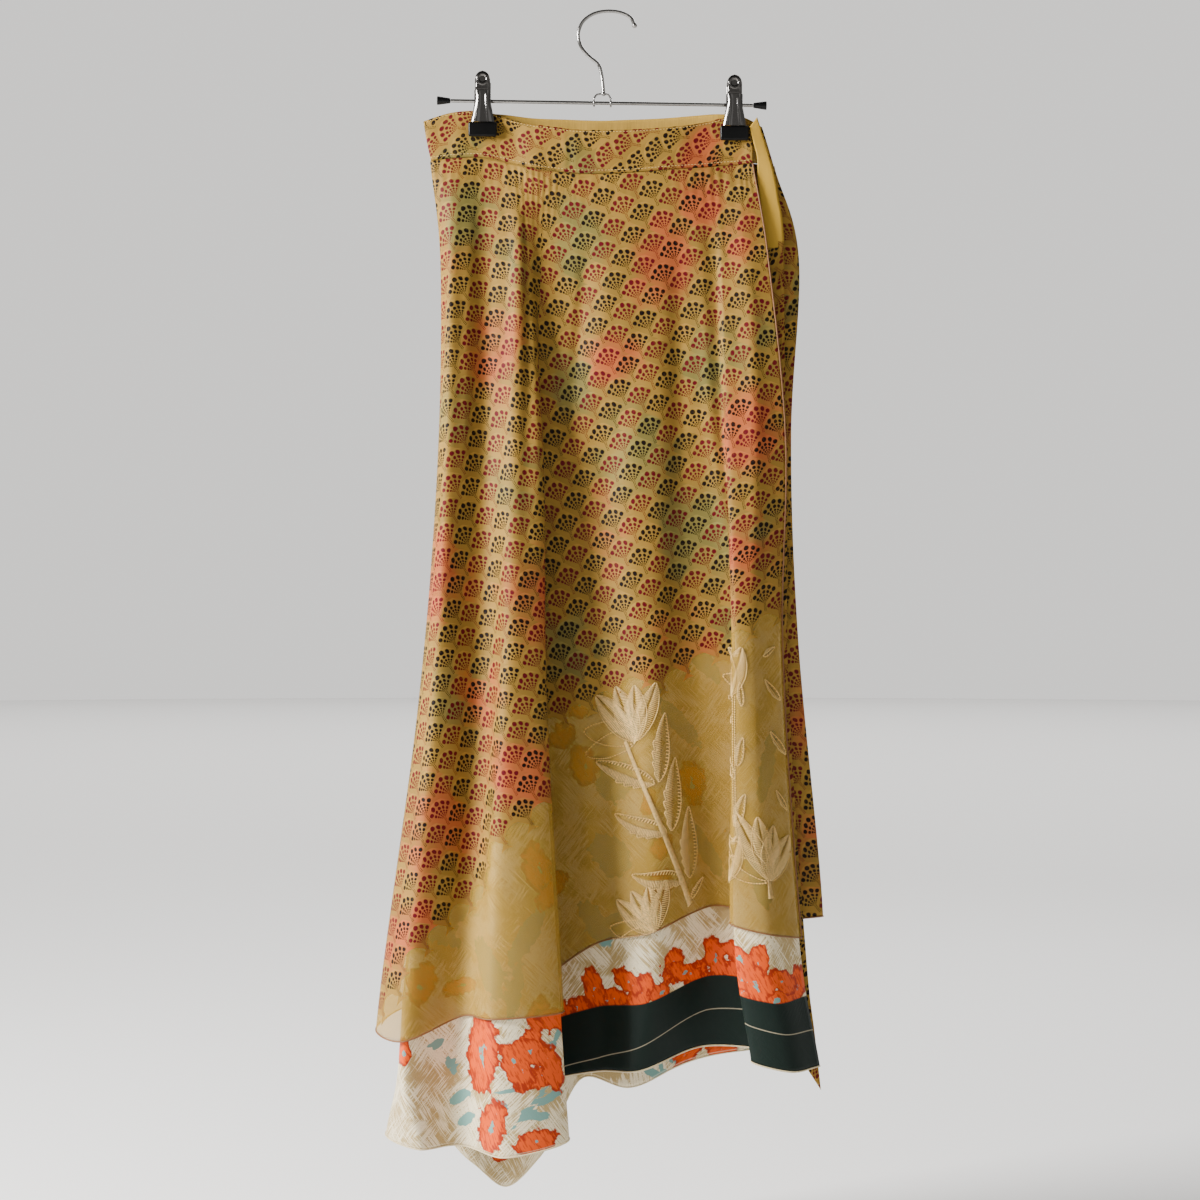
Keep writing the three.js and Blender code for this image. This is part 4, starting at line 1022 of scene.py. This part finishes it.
def cloth_piece(name, cloth, lays, fan_size=(1, 1)):
    """A sheet made from its grid with its print laid on it, and for each face corner the print's end."""
    piece = piece_from(name + "_cloth", cloth.points, cloth.faces().tolist())
    uv, edge = print_uv(cloth, lays, fan_size)
    layer = piece.data.uv_layers.new(name="cloth")
    layer.uv.foreach_set("vector", (uv * MM).ravel().astype(np.float32))
    return piece, edge


def printed_piece(name, cloth, lays, thickness, *materials):
    """A sheet of the printed silk, with its own material inside where a second one is given."""
    look = bpy.context.scene.skirt_print
    piece, edge = cloth_piece(name, cloth, lays, (look.fan_across / MM, look.fan_down / MM))
    paint(piece, "print_edge", "CORNER", edge)
    paint(piece, "wash", "POINT", wash_at(cloth))
    dress(piece, "printed_silk", *materials)
    thicken(piece, thickness, lining=len(materials) - 1)
    return piece


def hem_roll(name, path, material, slot, radius):
    """A narrow rolled hem along an edge of the cloth."""
    piece = tube(name, path, radius)
    dress(piece, slot, material)
    return piece


class SKIRT_OT_outer_layer(bpy.types.Operator):
    """Makes the printed outer layer, the back and the front, with its rolled hems"""

    bl_idname = "skirt.outer_layer"
    bl_label = "Outer layer"

    def execute(self, context):
        making = context.scene.skirt_making
        silk = printed_silk("Printed crepe silk", 0, 0.46)
        # The hem thread is rust, darkened beyond its own colour as painted shade along the rolled edges
        thread = plain_silk("Rust hem thread with painted edge shade", linear("#74491F"), 0.6)
        for name, start, stop, side_edge, lays, rests_on in (
                ("outer_back", 0, LEFT_SIDE, 0, OUTER_BACK_LAYS, "waistband_back_cloth"),
                ("outer_front", LEFT_SIDE, LAST_FOLD, -1, OUTER_FRONT_LAYS, "waistband_front_cloth")):
            cloth = layer_cloth(False, start, stop)
            piece = printed_piece(name, cloth, lays, making.silk, silk)
            roll = hem_roll(name + "_hem", cloth.points[-1], thread, "printed_silk", making.hem / MM)
            side = hem_roll(name + "_edge", cloth.points[:, side_edge], thread, "printed_silk",
                            making.hem / MM)
            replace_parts(piece, name)
        return {"FINISHED"}


class SKIRT_OT_inner_layer(bpy.types.Operator):
    """Makes the ivory inner layer, the back and the front, with its rolled hems"""

    bl_idname = "skirt.inner_layer"
    bl_label = "Inner layer"

    def execute(self, context):
        making = context.scene.skirt_making
        silk = ivory_silk()
        thread = plain_silk("Cream hem thread", linear("#CDBB92"), 0.6)
        for name, start, stop, rests_on in (
                ("inner_back", 0, LEFT_SIDE, "waistband_back_cloth"),
                ("inner_front", LEFT_SIDE, INNER_FRONT_END, "waistband_front_cloth")):
            cloth = layer_cloth(True, start, stop)
            piece, _ = cloth_piece(name, cloth, [Lay(-1, len(FOLDS), start, 0)])
            above = cloth.down[-1:] - cloth.down
            border, line = (np.interp(cloth.folds, table["folds"], table["height"])[None, :] + 0 * above
                            for table in (BORDER_HEIGHT, THREAD_HEIGHT))
            paint(piece, "hem", "POINT", np.stack([above, border, line], axis=2) * MM)
            for key, spots in petal_spots(cloth, 1 if name == "inner_back" else -1, border[0]).items():
                paint(piece, key, "POINT", spots)
            dress(piece, "ivory_silk", silk)
            thicken(piece, making.silk)
            roll = hem_roll(name + "_hem", cloth.points[-1], thread, "ivory_silk", making.hem / MM)
            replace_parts(piece, name)
        return {"FINISHED"}


class SKIRT_OT_waistband(bpy.types.Operator):
    """Makes the folded waistband, printed outside and plain gold inside, with its topstitching"""

    bl_idname = "skirt.waistband"
    bl_label = "Waistband"

    def execute(self, context):
        making = context.scene.skirt_making
        silk = printed_silk("Printed waistband silk", 1, 1)
        gold = plain_silk("Plain gold silk", context.scene.skirt_print.sheer, 0.48)
        thread = plain_silk("Gold sewing thread", linear("#CBAA62"), 0.6)
        for name, start, stop in (
                ("waistband_back", 0, LEFT_SIDE), ("waistband_front", LEFT_SIDE, LAST_FOLD)):
            cloth = band_cloth(start, stop)
            lays = [Lay(-1, len(FOLDS), start, BAND_TURN)]
            piece = printed_piece(name, cloth, lays, making.band, silk, gold)
            stitches = []
            for drop in (TOPSTITCH["from_top"], cloth.down[-1].min() - TOPSTITCH["from_seam"]):
                for place in np.arange(3, cloth.across[0, -1] - 3, TOPSTITCH["step"]):
                    a, out = cloth.walk(0, 0, -place, -drop)
                    b, _ = cloth.walk(0, 0, -place - TOPSTITCH["length"], -drop)
                    lift = out * TOPSTITCH["lift"]
                    stitches.append((a + lift, b + lift, out, TOPSTITCH["width"]))
            sewing = grains(name + "_topstitch", stitches, TOPSTITCH["height"])
            dress(sewing, "printed_silk", thread)
            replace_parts(piece, name)
        return {"FINISHED"}


def strip_cloth(left, right, rows, columns):
    """A flat strip between a left and a right edge, seen by the viewer."""
    at = np.linspace(0, len(left) - 1, rows)
    a, b = spline(right, at), spline(left, at)
    share = np.linspace(0, 1, columns)[None, :, None]
    points = a[:, None] * (1 - share) + b[:, None] * share
    return Cloth(np.arange(columns), points)


class SKIRT_OT_ties(bpy.types.Operator):
    """Makes the two waist ties, folded double"""

    bl_idname = "skirt.ties"
    bl_label = "Ties"

    def execute(self, context):
        silk = printed_silk("Printed tie silk", 0, 1)
        share = np.linspace(0, 1, len(UNDER_TIE_DEPTH))
        under_left = np.column_stack([UNDER_TIE_LEFT + share * UNDER_TIE_SHIFT, UNDER_TIE_DEPTH,
                                      UNDER_TIE_TOP - share * UNDER_TIE_DROP])
        free_left, free_right = ([edges[i] for edges in TIE_EDGES] for i in (0, 1))
        for name, left, right, rows, rests_on in (
                ("tie_free_end", free_left, free_right, 150, "waistband_back_cloth"),
                ("tie_under_end", under_left, under_left + (TIE_WIDTH, 0, 0), 60, "waistband_front_cloth")):
            cloth = strip_cloth(left, right, rows, TIE_COLUMNS)
            fold = np.sin(np.linspace(0, math.pi, TIE_COLUMNS))[None, :] ** 0.6
            ripple = 0.35 * np.sin(cloth.down / 31) * np.cos(cloth.across / 5)
            cloth.points = cloth.points + cloth.facing * ((0.12 * fold + ripple * fold)[..., None])
            piece, edge = cloth_piece(name, cloth, [Lay(-1, len(FOLDS), TIE_COLUMNS // 2, TIE_TURN)])
            edge[cloth.down.ravel()[cloth.faces()].mean(axis=1) < TIE_GOLD_DROP] = (0, 0, -1)
            paint(piece, "print_edge", "CORNER", edge)
            paint(piece, "wash", "POINT", np.zeros((*cloth.down.shape, 3)))
            dress(piece, "gold_silk", silk)
            thicken(piece, TIE_THICKNESS * MM, offset=0)
            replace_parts(piece, name)
        return {"FINISHED"}


def seen_at(cloth, way, x, z):
    """The grid point nearest to a place as it is seen from the near side, way 1, or the far side, -1."""
    away = np.hypot(cloth.points[..., 0] - way * x, cloth.points[..., 2] - z)
    cost = away + 0.05 * way * cloth.points[..., 1]
    return np.unravel_index(int(np.argmin(cost)), cost.shape)


def petal_sides(length, width, lean, bow, steps):
    """A petal's or leaf's left edge, middle line and right edge, as flat points from foot to tip."""
    share = np.linspace(0, 1, steps)
    half = width / 2 * np.sin(math.pi * share ** 0.85) ** 0.75
    shift = bow * np.sin(math.pi * share * 0.5) ** 2
    angle = math.radians(lean)
    lines = []
    for side in (-1, 0, 1):
        right, up = side * half + shift, share * length
        lines.append(np.column_stack([right * math.cos(angle) + up * math.sin(angle),
                                      up * math.cos(angle) - right * math.sin(angle)]))
    return lines


def running_stitch(line):
    """Stitches along a line, each a little shorter than its step."""
    return [(a, a + (b - a) * 0.86, 1.35) for a, b in zip(line[:-1], line[1:])]


def motif_stitches(kind, length):
    """A motif's stitches: two flat points to the right and up from its foot, and how wide in threads."""
    stitches = []
    if kind == "stem":
        for up in np.arange(0, length, 0.95):
            half = 2.2 + 1.3 * (1 - up / length)
            stitches.append(((-half, up - 0.5), (half, up + 1.0), 1.15))
    elif kind == "stalk":
        for side in (-1.1, 1.1):
            stitches += running_stitch(np.array([(side, up) for up in np.arange(0, length, 2.3)]))
    elif kind == "leaf":
        steps = max(9, int(length / 1.5))
        left, middle, right = petal_sides(length, LEAF_WIDTH * length, 0, LEAF_BOW * length, steps)
        teeth = 1 + 0.35 * (np.arange(steps) % 6 / 5) * (np.arange(steps) < steps * 0.6)
        left = middle + (left - middle) * teeth[:, None]
        stitches += running_stitch(left) + running_stitch(right)
        for i in range(1, steps - 2):
            stitches.append((left[i], middle[i + 1], 1.15))
            if i % 2:
                stitches.append((middle[i + 1] * 0.5 + right[i] * 0.5, right[i], 1.0))
    else:
        for number, (lean, size) in enumerate(zip(TULIP_PETALS["lean"], TULIP_PETALS["length"])):
            filled = number in TULIP_FILLED
            steps = int(length * size / (1.5 if filled else 2.2))
            width, bow = TULIP_PETAL_WIDTH * length, TULIP_PETAL_BOW * length * lean / 60
            left, middle, right = petal_sides(length * size, width, lean, bow, steps)
            if filled:
                for i in range(steps - 2):
                    stitches.append((left[i], middle[i + 2], 1.1))
                    stitches.append((middle[i + 2], right[i], 1.1))
            stitches += running_stitch(left) + running_stitch(right)
    return stitches


class SKIRT_OT_stitched_flowers(bpy.types.Operator):
    """Stitches pale tulips, leaves and stems on the sheer border, with small beads between them"""

    bl_idname = "skirt.stitched_flowers"
    bl_label = "Stitched flowers"

    def execute(self, context):
        thread_width = context.scene.skirt_making.stitch / MM
        thread = plain_silk("Pale gold embroidery silk", context.scene.skirt_print.stitch, 0.4,
                            streak=(640, 640, 640), darkest=0.62)
        glass = glass_bead()
        for name, start, stop, way in (
                ("outer_back", 0, LEFT_SIDE, 1), ("outer_front", LEFT_SIDE, LAST_FOLD, -1)):
            cloth = layer_cloth(False, start, stop)
            stitches, beads = [], []
            for motif in MOTIFS:
                row, column = seen_at(cloth, way, motif.x, motif.z)
                cos, sin = math.cos(math.radians(motif.lean)), math.sin(math.radians(motif.lean))
                for *ends, width in motif_stitches(motif.kind, motif.length):
                    (a, out), (b, _) = (
                        cloth.walk(row, column, right * cos + up * sin, up * cos - right * sin)
                        for right, up in ends)
                    lift = out * STITCH_LIFT
                    stitches.append((a + lift, b + lift, out, width * thread_width))
            for x, z in BEADS:
                at, out = cloth.walk(*seen_at(cloth, way, x, z), 0, 0)
                top = at + out * BEAD["lift"]
                beads.append((top, top - (0, 0, BEAD["length"]), out, BEAD["width"]))
            dress(grains(name + "_flowers", stitches, STITCH_HEIGHT), "printed_silk", thread)
            dress(grains(name + "_beads", beads, BEAD["height"]), "printed_silk", glass)
        return {"FINISHED"}


def active_piece(name, slot, material):
    """Names the piece just made by an operator, moves its place into its mesh and gives it its material."""
    piece = bpy.context.active_object
    piece.name = name
    select(piece)
    bpy.ops.object.transform_apply(location=True, rotation=True, scale=True)
    piece.data.materials.clear()
    dress(piece, slot, material)
    return piece


def soften(piece, width, segments=3):
    """Rounds a piece's edges."""
    select(piece)
    edge = piece.modifiers.new("edge", "BEVEL")
    edge.width = width * MM
    edge.segments = segments
    edge.limit_method = "ANGLE"
    edge.angle_limit = math.radians(35)
    bpy.ops.object.modifier_apply(modifier=edge.name)
    bpy.ops.object.shade_smooth_by_angle(angle=math.radians(40))


def merge(pieces):
    """Joins pieces into the first of them."""
    select(pieces[0])
    for piece in pieces[1:]:
        piece.select_set(True)
    bpy.ops.object.join()
    return pieces[0]


def wire(name, path, radius, material):
    """A bent chrome wire with closed ends along a path in millimetres."""
    line = bpy.data.curves.new(name, "CURVE")
    line.dimensions = "3D"
    line.bevel_depth = radius * MM
    line.bevel_resolution = 4
    line.use_fill_caps = True
    points = line.splines.new("POLY")
    points.points.add(len(path) - 1)
    for point, place in zip(points.points, path):
        point.co = (*(float(v) * MM for v in place), 1)
    piece = bpy.data.objects.new(name, line)
    bpy.context.collection.objects.link(piece)
    select(piece)
    bpy.ops.object.convert(target="MESH")
    piece = active_piece(name, "chrome", material)
    bpy.ops.object.shade_smooth_by_angle(angle=math.radians(50))
    return piece


def rod_height(x):
    """The rod's height where it passes a place along it."""
    share = (x - ROD["left"]) / (ROD["right"] - ROD["left"])
    return ROD["height_at_left"] + share * (ROD["height_at_right"] - ROD["height_at_left"])


class SKIRT_OT_hanger_wire(bpy.types.Operator):
    """Makes the hanger's rod with its cone tips, the hook and the bridge that carries it"""

    bl_idname = "skirt.hanger_wire"
    bl_label = "Hook and rod"

    def execute(self, context):
        # The wire's chrome base is darkened below real chrome, though less than the clips' sheet: painted
        # dark reflection
        plate = chrome("Chrome plated wire", "#8E8C89")
        rubber = black_rubber()
        tilt = math.atan2(ROD["height_at_left"] - ROD["height_at_right"], ROD["right"] - ROD["left"])
        along_rod = (0, math.pi / 2 + tilt, 0)
        middle = (ROD["left"] + ROD["right"]) / 2
        length = math.hypot(ROD["right"] - ROD["left"], ROD["height_at_right"] - ROD["height_at_left"])
        bpy.ops.mesh.primitive_cylinder_add(
            vertices=32, radius=ROD["radius"] * MM, depth=length * MM, rotation=along_rod,
            location=(middle * MM, 0, rod_height(middle) * MM))
        rod = active_piece("rod", "chrome", plate)
        soften(rod, 0.3)
        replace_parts(rod, "hanger_rod")
        for side, end, way in (("left", ROD["left"], -1), ("right", ROD["right"], 1)):
            at = end + way * (SEAM_GAP + ROD_TIP["length"] / 2)
            inner, outer = ROD_TIP["inner_radius"] * MM, ROD_TIP["outer_radius"] * MM
            bpy.ops.mesh.primitive_cone_add(
                vertices=40, radius1=inner if way > 0 else outer, radius2=outer if way > 0 else inner,
                depth=ROD_TIP["length"] * MM, rotation=along_rod,
                location=(at * MM, 0, rod_height(at) * MM))
            tip = active_piece(f"tip_{side}", "black_rubber", rubber)
            soften(tip, 0.7, 4)
            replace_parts(tip, f"rod_tip_{side}")

        flat = [(x, 0, z) for x, z in HOOK_LINE]
        path = spline(flat, np.linspace(0, len(flat) - 1, 120), True)
        hook = wire("hook_wire", path, WIRE_RADIUS, plate)
        x, z = HOOK_LINE[0]
        bpy.ops.mesh.primitive_uv_sphere_add(
            segments=32, ring_count=20, radius=HOOK_BALL * MM, location=(x * MM, 0, z * MM))
        ball = active_piece("hook_tip", "chrome", plate)
        bpy.ops.object.shade_smooth()
        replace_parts(merge([hook, ball]), "hook")

        left, right = BRIDGE["leg_left"], BRIDGE["leg_right"]
        top = BRIDGE["top"] - 1
        corners = [(left, 0, rod_height(left) + 2.6), (left, 0, rod_height(left) + 4),
                   (left + 1.5, 0, top - 1.2), (left + 3.2, 0, top), (right - 3.2, 0, top),
                   (right - 1.5, 0, top - 1.2), (right, 0, rod_height(right) + 4),
                   (right, 0, rod_height(right) + 2.6)]
        path = spline(corners, np.linspace(0, len(corners) - 1, 60), True)
        parts = [wire("bridge_wire", path, BRIDGE["wire"], plate)]
        for x in (left, right):
            bpy.ops.mesh.primitive_torus_add(
                major_radius=BRIDGE["eye"] * MM, minor_radius=BRIDGE["wire"] * MM, major_segments=40,
                minor_segments=12, rotation=along_rod, location=(x * MM, 0, rod_height(x) * MM))
            parts.append(active_piece("bridge_eye", "chrome", plate))
            bpy.ops.object.shade_smooth()
        x, z = BRIDGE["head_at"]
        bpy.ops.mesh.primitive_uv_sphere_add(
            segments=28, ring_count=16, radius=BRIDGE["head"] * MM, location=(x * MM, 0, z * MM))
        parts.append(active_piece("bridge_head", "chrome", plate))
        bpy.ops.object.shade_smooth()
        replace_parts(merge(parts), "hook_bridge")
        return {"FINISHED"}


def jaw_half_width(height):
    """Half the width of a jaw's face at a height above the rod."""
    head = JAW["above_rod"] - JAW["head_radius"]
    if height > head:
        return math.sqrt(max(JAW["head_radius"] ** 2 - (height - head) ** 2, 0.01))
    if height > 0:
        return JAW["head_radius"]
    return JAW["head_radius"] - height / JAW["below_rod"] * (JAW["foot_width"] / 2 - JAW["head_radius"])


def jaw_relief(across, height):
    """How far the stamping stands out of a jaw: a dished boss in the head and ribs down the blade."""
    head = JAW["above_rod"] - JAW["head_radius"]
    from_boss = math.hypot(across, height - head)
    boss = 0.7 * math.exp(-((from_boss - 4.6) / 1.0) ** 2) - 0.5 * (from_boss < 3.4)
    spread = jaw_half_width(height) / JAW["head_radius"]
    ribs = sum(math.exp(-((across / spread - x) / 1.0) ** 2) for x in (-3.6, 3.6))
    start = min(max((9 - height) / 5, 0), 1)
    step = 0.5 * min(max((height - 9) / 2.5, 0), 1)
    return boss + 0.9 * ribs * start + step


class SKIRT_OT_hanger_clips(bpy.types.Operator):
    """Makes the two sprung clips, each with two stamped jaws, black grips and a coil spring"""

    bl_idname = "skirt.hanger_clips"
    bl_label = "Clips"

    def execute(self, context):
        # The sheet's chrome base is darker than the wire's: painted dark reflection, a shaded copy of the
        # same chrome
        plate = chrome("Chrome plated sheet", "#5C5A58")
        rubber = black_rubber()
        for side, x in CLIP_X.items():
            z = rod_height(x)
            for face, way, ear_at in (("near", -1, EAR["near_at"]), ("far", 1, EAR["far_at"])):
                jaw = stamped_jaw(f"clip_{side}_{face}", x, z, way, plate)
                ears = [jaw_ear(f"clip_{side}_{face}_ear", x + at, z, way, plate)
                        for at in (-ear_at, ear_at)]
                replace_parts(merge([jaw, *ears]), f"clip_{side}_{face}_jaw")
                at = (x * MM, way * (GRIP["inner_face"] + GRIP["depth"] / 2) * MM,
                      (z - JAW["below_rod"] - SEAM_GAP - GRIP["height"] / 2) * MM)
                bpy.ops.mesh.primitive_cube_add(size=1, location=at)
                context.active_object.scale = [GRIP[key] * MM for key in ("width", "depth", "height")]
                grip = active_piece(f"clip_{side}_{face}_grip_boot", "black_rubber", rubber)
                soften(grip, GRIP["rounding"], 5)
                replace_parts(grip, f"clip_{side}_{face}_grip")
            turns = np.linspace(0, SPRING["turns"] * 2 * math.pi, SPRING["turns"] * 20)
            coil = np.column_stack([
                x + (turns / turns[-1] - 0.5) * (SPRING["length"] - 2 * SPRING["wire"]),
                SPRING["radius"] * np.cos(turns), z + SPRING["radius"] * np.sin(turns)])
            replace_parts(wire(f"clip_{side}_coil", coil, SPRING["wire"], plate), f"clip_{side}_spring")
        return {"FINISHED"}


def stamped_jaw(name, x, z, way, material):
    """A jaw's stamped face: a plane cut to its outline, with its relief pressed in, then made a sheet."""
    bpy.ops.mesh.primitive_grid_add(
        x_subdivisions=26, y_subdivisions=62, size=2, rotation=(math.pi / 2, 0, 0))
    jaw = active_piece(name, "chrome", material)
    tall = JAW["above_rod"] + JAW["below_rod"]
    slope = (JAW["top_depth"] - JAW["foot_depth"]) / tall
    for vertex in jaw.data.vertices:
        across, share = vertex.co.x, (vertex.co.z + 1) / 2
        height = share * tall - JAW["below_rod"]
        side = across * (jaw_half_width(height) - JAW["sheet"] / 2)
        below_head = height < JAW["above_rod"] - JAW["head_radius"]
        flange = 1.6 * max(abs(across) - 0.8, 0) / 0.2 if below_head else 0
        depth = JAW["foot_depth"] + slope * (height + JAW["below_rod"]) + jaw_relief(side, height) - flange
        vertex.co = ((x - way * side) * MM, way * depth * MM, (z + height) * MM)
    thicken(jaw, JAW["sheet"] * MM, offset=0)
    soften(jaw, 0.25, 2)
    return jaw


def jaw_ear(name, x, z, way, material):
    """A jaw's ear: a fin from the blade to just past the rod."""
    depth = JAW["foot_depth"] + 0.6
    outline = ((-depth, EAR["top"]), (-depth, -EAR["bottom"]), (EAR["reach"], EAR["reach"]),
               (EAR["reach"], -EAR["reach"]))
    bpy.ops.mesh.primitive_plane_add(size=1)
    ear = active_piece(name, "chrome", material)
    for vertex, (y, height) in zip(ear.data.vertices, outline):
        vertex.co = (x * MM, -way * y * MM, (z + height) * MM)
    thicken(ear, EAR["sheet"] * MM, offset=0)
    soften(ear, 0.25, 2)
    return ear


class SKIRT_OT_stage(bpy.types.Operator):
    """Sets the pale floor, the soft studio lights and the camera at the photograph's angle"""

    bl_idname = "skirt.stage"
    bl_label = "Stage"

    def execute(self, context):
        material, tree = start_material("Pale studio floor")
        surface = node(tree, SURFACE, {"Base Color": linear("#EFEDEA"), "Roughness": 0.85})
        node(tree, "ShaderNodeOutputMaterial", {"Surface": surface})
        bpy.ops.mesh.primitive_circle_add(
            vertices=96, radius=FLOOR_RADIUS, fill_type="NGON", location=(0, 0, FLOOR_HEIGHT * MM))
        floor = bpy.context.active_object
        floor.name = "studio_floor"
        floor.data.materials.append(material)
        bpy.ops.object.transform_apply(location=True, rotation=True, scale=True)

        # The world is a wide soft light: brightest low down, on the left and behind the skirt
        world = bpy.data.worlds.new("Studio")
        world.use_nodes = True
        tree = world.node_tree
        tree.nodes.clear()
        direction = node(tree, COORDINATES).outputs["Generated"]
        height = node(tree, SPLIT, {0: direction})
        strength = node(tree, RANGE, {0: height.outputs["Z"], 1: 0.24, 2: 0.5, 3: 1.15, 4: 0.2},
                        interpolation_type="SMOOTHSTEP")
        side = node(tree, VECTOR, {0: direction, 1: (-0.5, 0.87, 0)}, operation="DOT_PRODUCT")
        side = node(tree, RANGE, {0: side.outputs["Value"], 1: -0.6, 2: 0.7, 3: 0.45, 4: 1})
        strength = node(tree, MATH, {0: strength, 1: side}, operation="MULTIPLY")
        light = node(tree, "ShaderNodeBackground", {"Color": linear("#F4F2EF"), "Strength": strength})
        node(tree, "ShaderNodeOutputWorld", {"Surface": light})
        context.scene.world = world

        for name, place, size, power in LIGHTS:
            bpy.ops.object.light_add(type="AREA", location=place)
            lamp = context.active_object
            lamp.name = name
            lamp.data.size = size
            lamp.data.energy = power
            if name != "floor_light":
                lamp.rotation_euler = (LIGHTS_AIM - Vector(place)).to_track_quat("-Z", "Y").to_euler()

        bpy.ops.object.camera_add(location=CAMERA_PLACE, rotation=(math.pi / 2, 0, 0))
        camera = context.active_object
        camera.data.sensor_width = 36
        camera.data.lens = CAMERA_LENS
        camera.data.dof.use_dof = False
        context.scene.camera = camera
        return {"FINISHED"}


class SKIRT_PT_panel(bpy.types.Panel):
    """The skirt's sizes, colours and making steps"""

    bl_label = "Wrap Skirt"
    bl_idname = "SKIRT_PT_panel"
    bl_space_type = "VIEW_3D"
    bl_region_type = "UI"
    bl_category = "Skirt"

    def draw(self, context):
        scene = context.scene
        for group in (scene.skirt_print, scene.skirt_inner, scene.skirt_making):
            box = self.layout.box()
            for name in group.bl_rna.properties.keys():
                if name not in ("rna_type", "name"):
                    box.prop(group, name)
        for operator in OPERATORS:
            self.layout.operator(operator.bl_idname)


OPERATORS = (
    SKIRT_OT_outer_layer, SKIRT_OT_inner_layer, SKIRT_OT_waistband, SKIRT_OT_ties,
    SKIRT_OT_stitched_flowers, SKIRT_OT_hanger_wire, SKIRT_OT_hanger_clips, SKIRT_OT_stage,
)
GROUPS = {"skirt_print": PrintSettings, "skirt_inner": InnerSettings, "skirt_making": MakingSettings}


def register():
    for group in GROUPS.values():
        bpy.utils.register_class(group)
    for name, group in GROUPS.items():
        setattr(bpy.types.Scene, name, bpy.props.PointerProperty(type=group))
    for operator in OPERATORS:
        bpy.utils.register_class(operator)
    bpy.utils.register_class(SKIRT_PT_panel)


def unregister():
    bpy.utils.unregister_class(SKIRT_PT_panel)
    for operator in reversed(OPERATORS):
        bpy.utils.unregister_class(operator)
    for name in GROUPS:
        delattr(bpy.types.Scene, name)
    for group in GROUPS.values():
        bpy.utils.unregister_class(group)


def main():
    register()
    bpy.ops.skirt.outer_layer()
    bpy.ops.skirt.inner_layer()
    bpy.ops.skirt.waistband()
    bpy.ops.skirt.ties()
    bpy.ops.skirt.stitched_flowers()
    bpy.ops.skirt.hanger_wire()
    bpy.ops.skirt.hanger_clips()
    bpy.ops.skirt.stage()


if __name__ == "__main__":
    main()
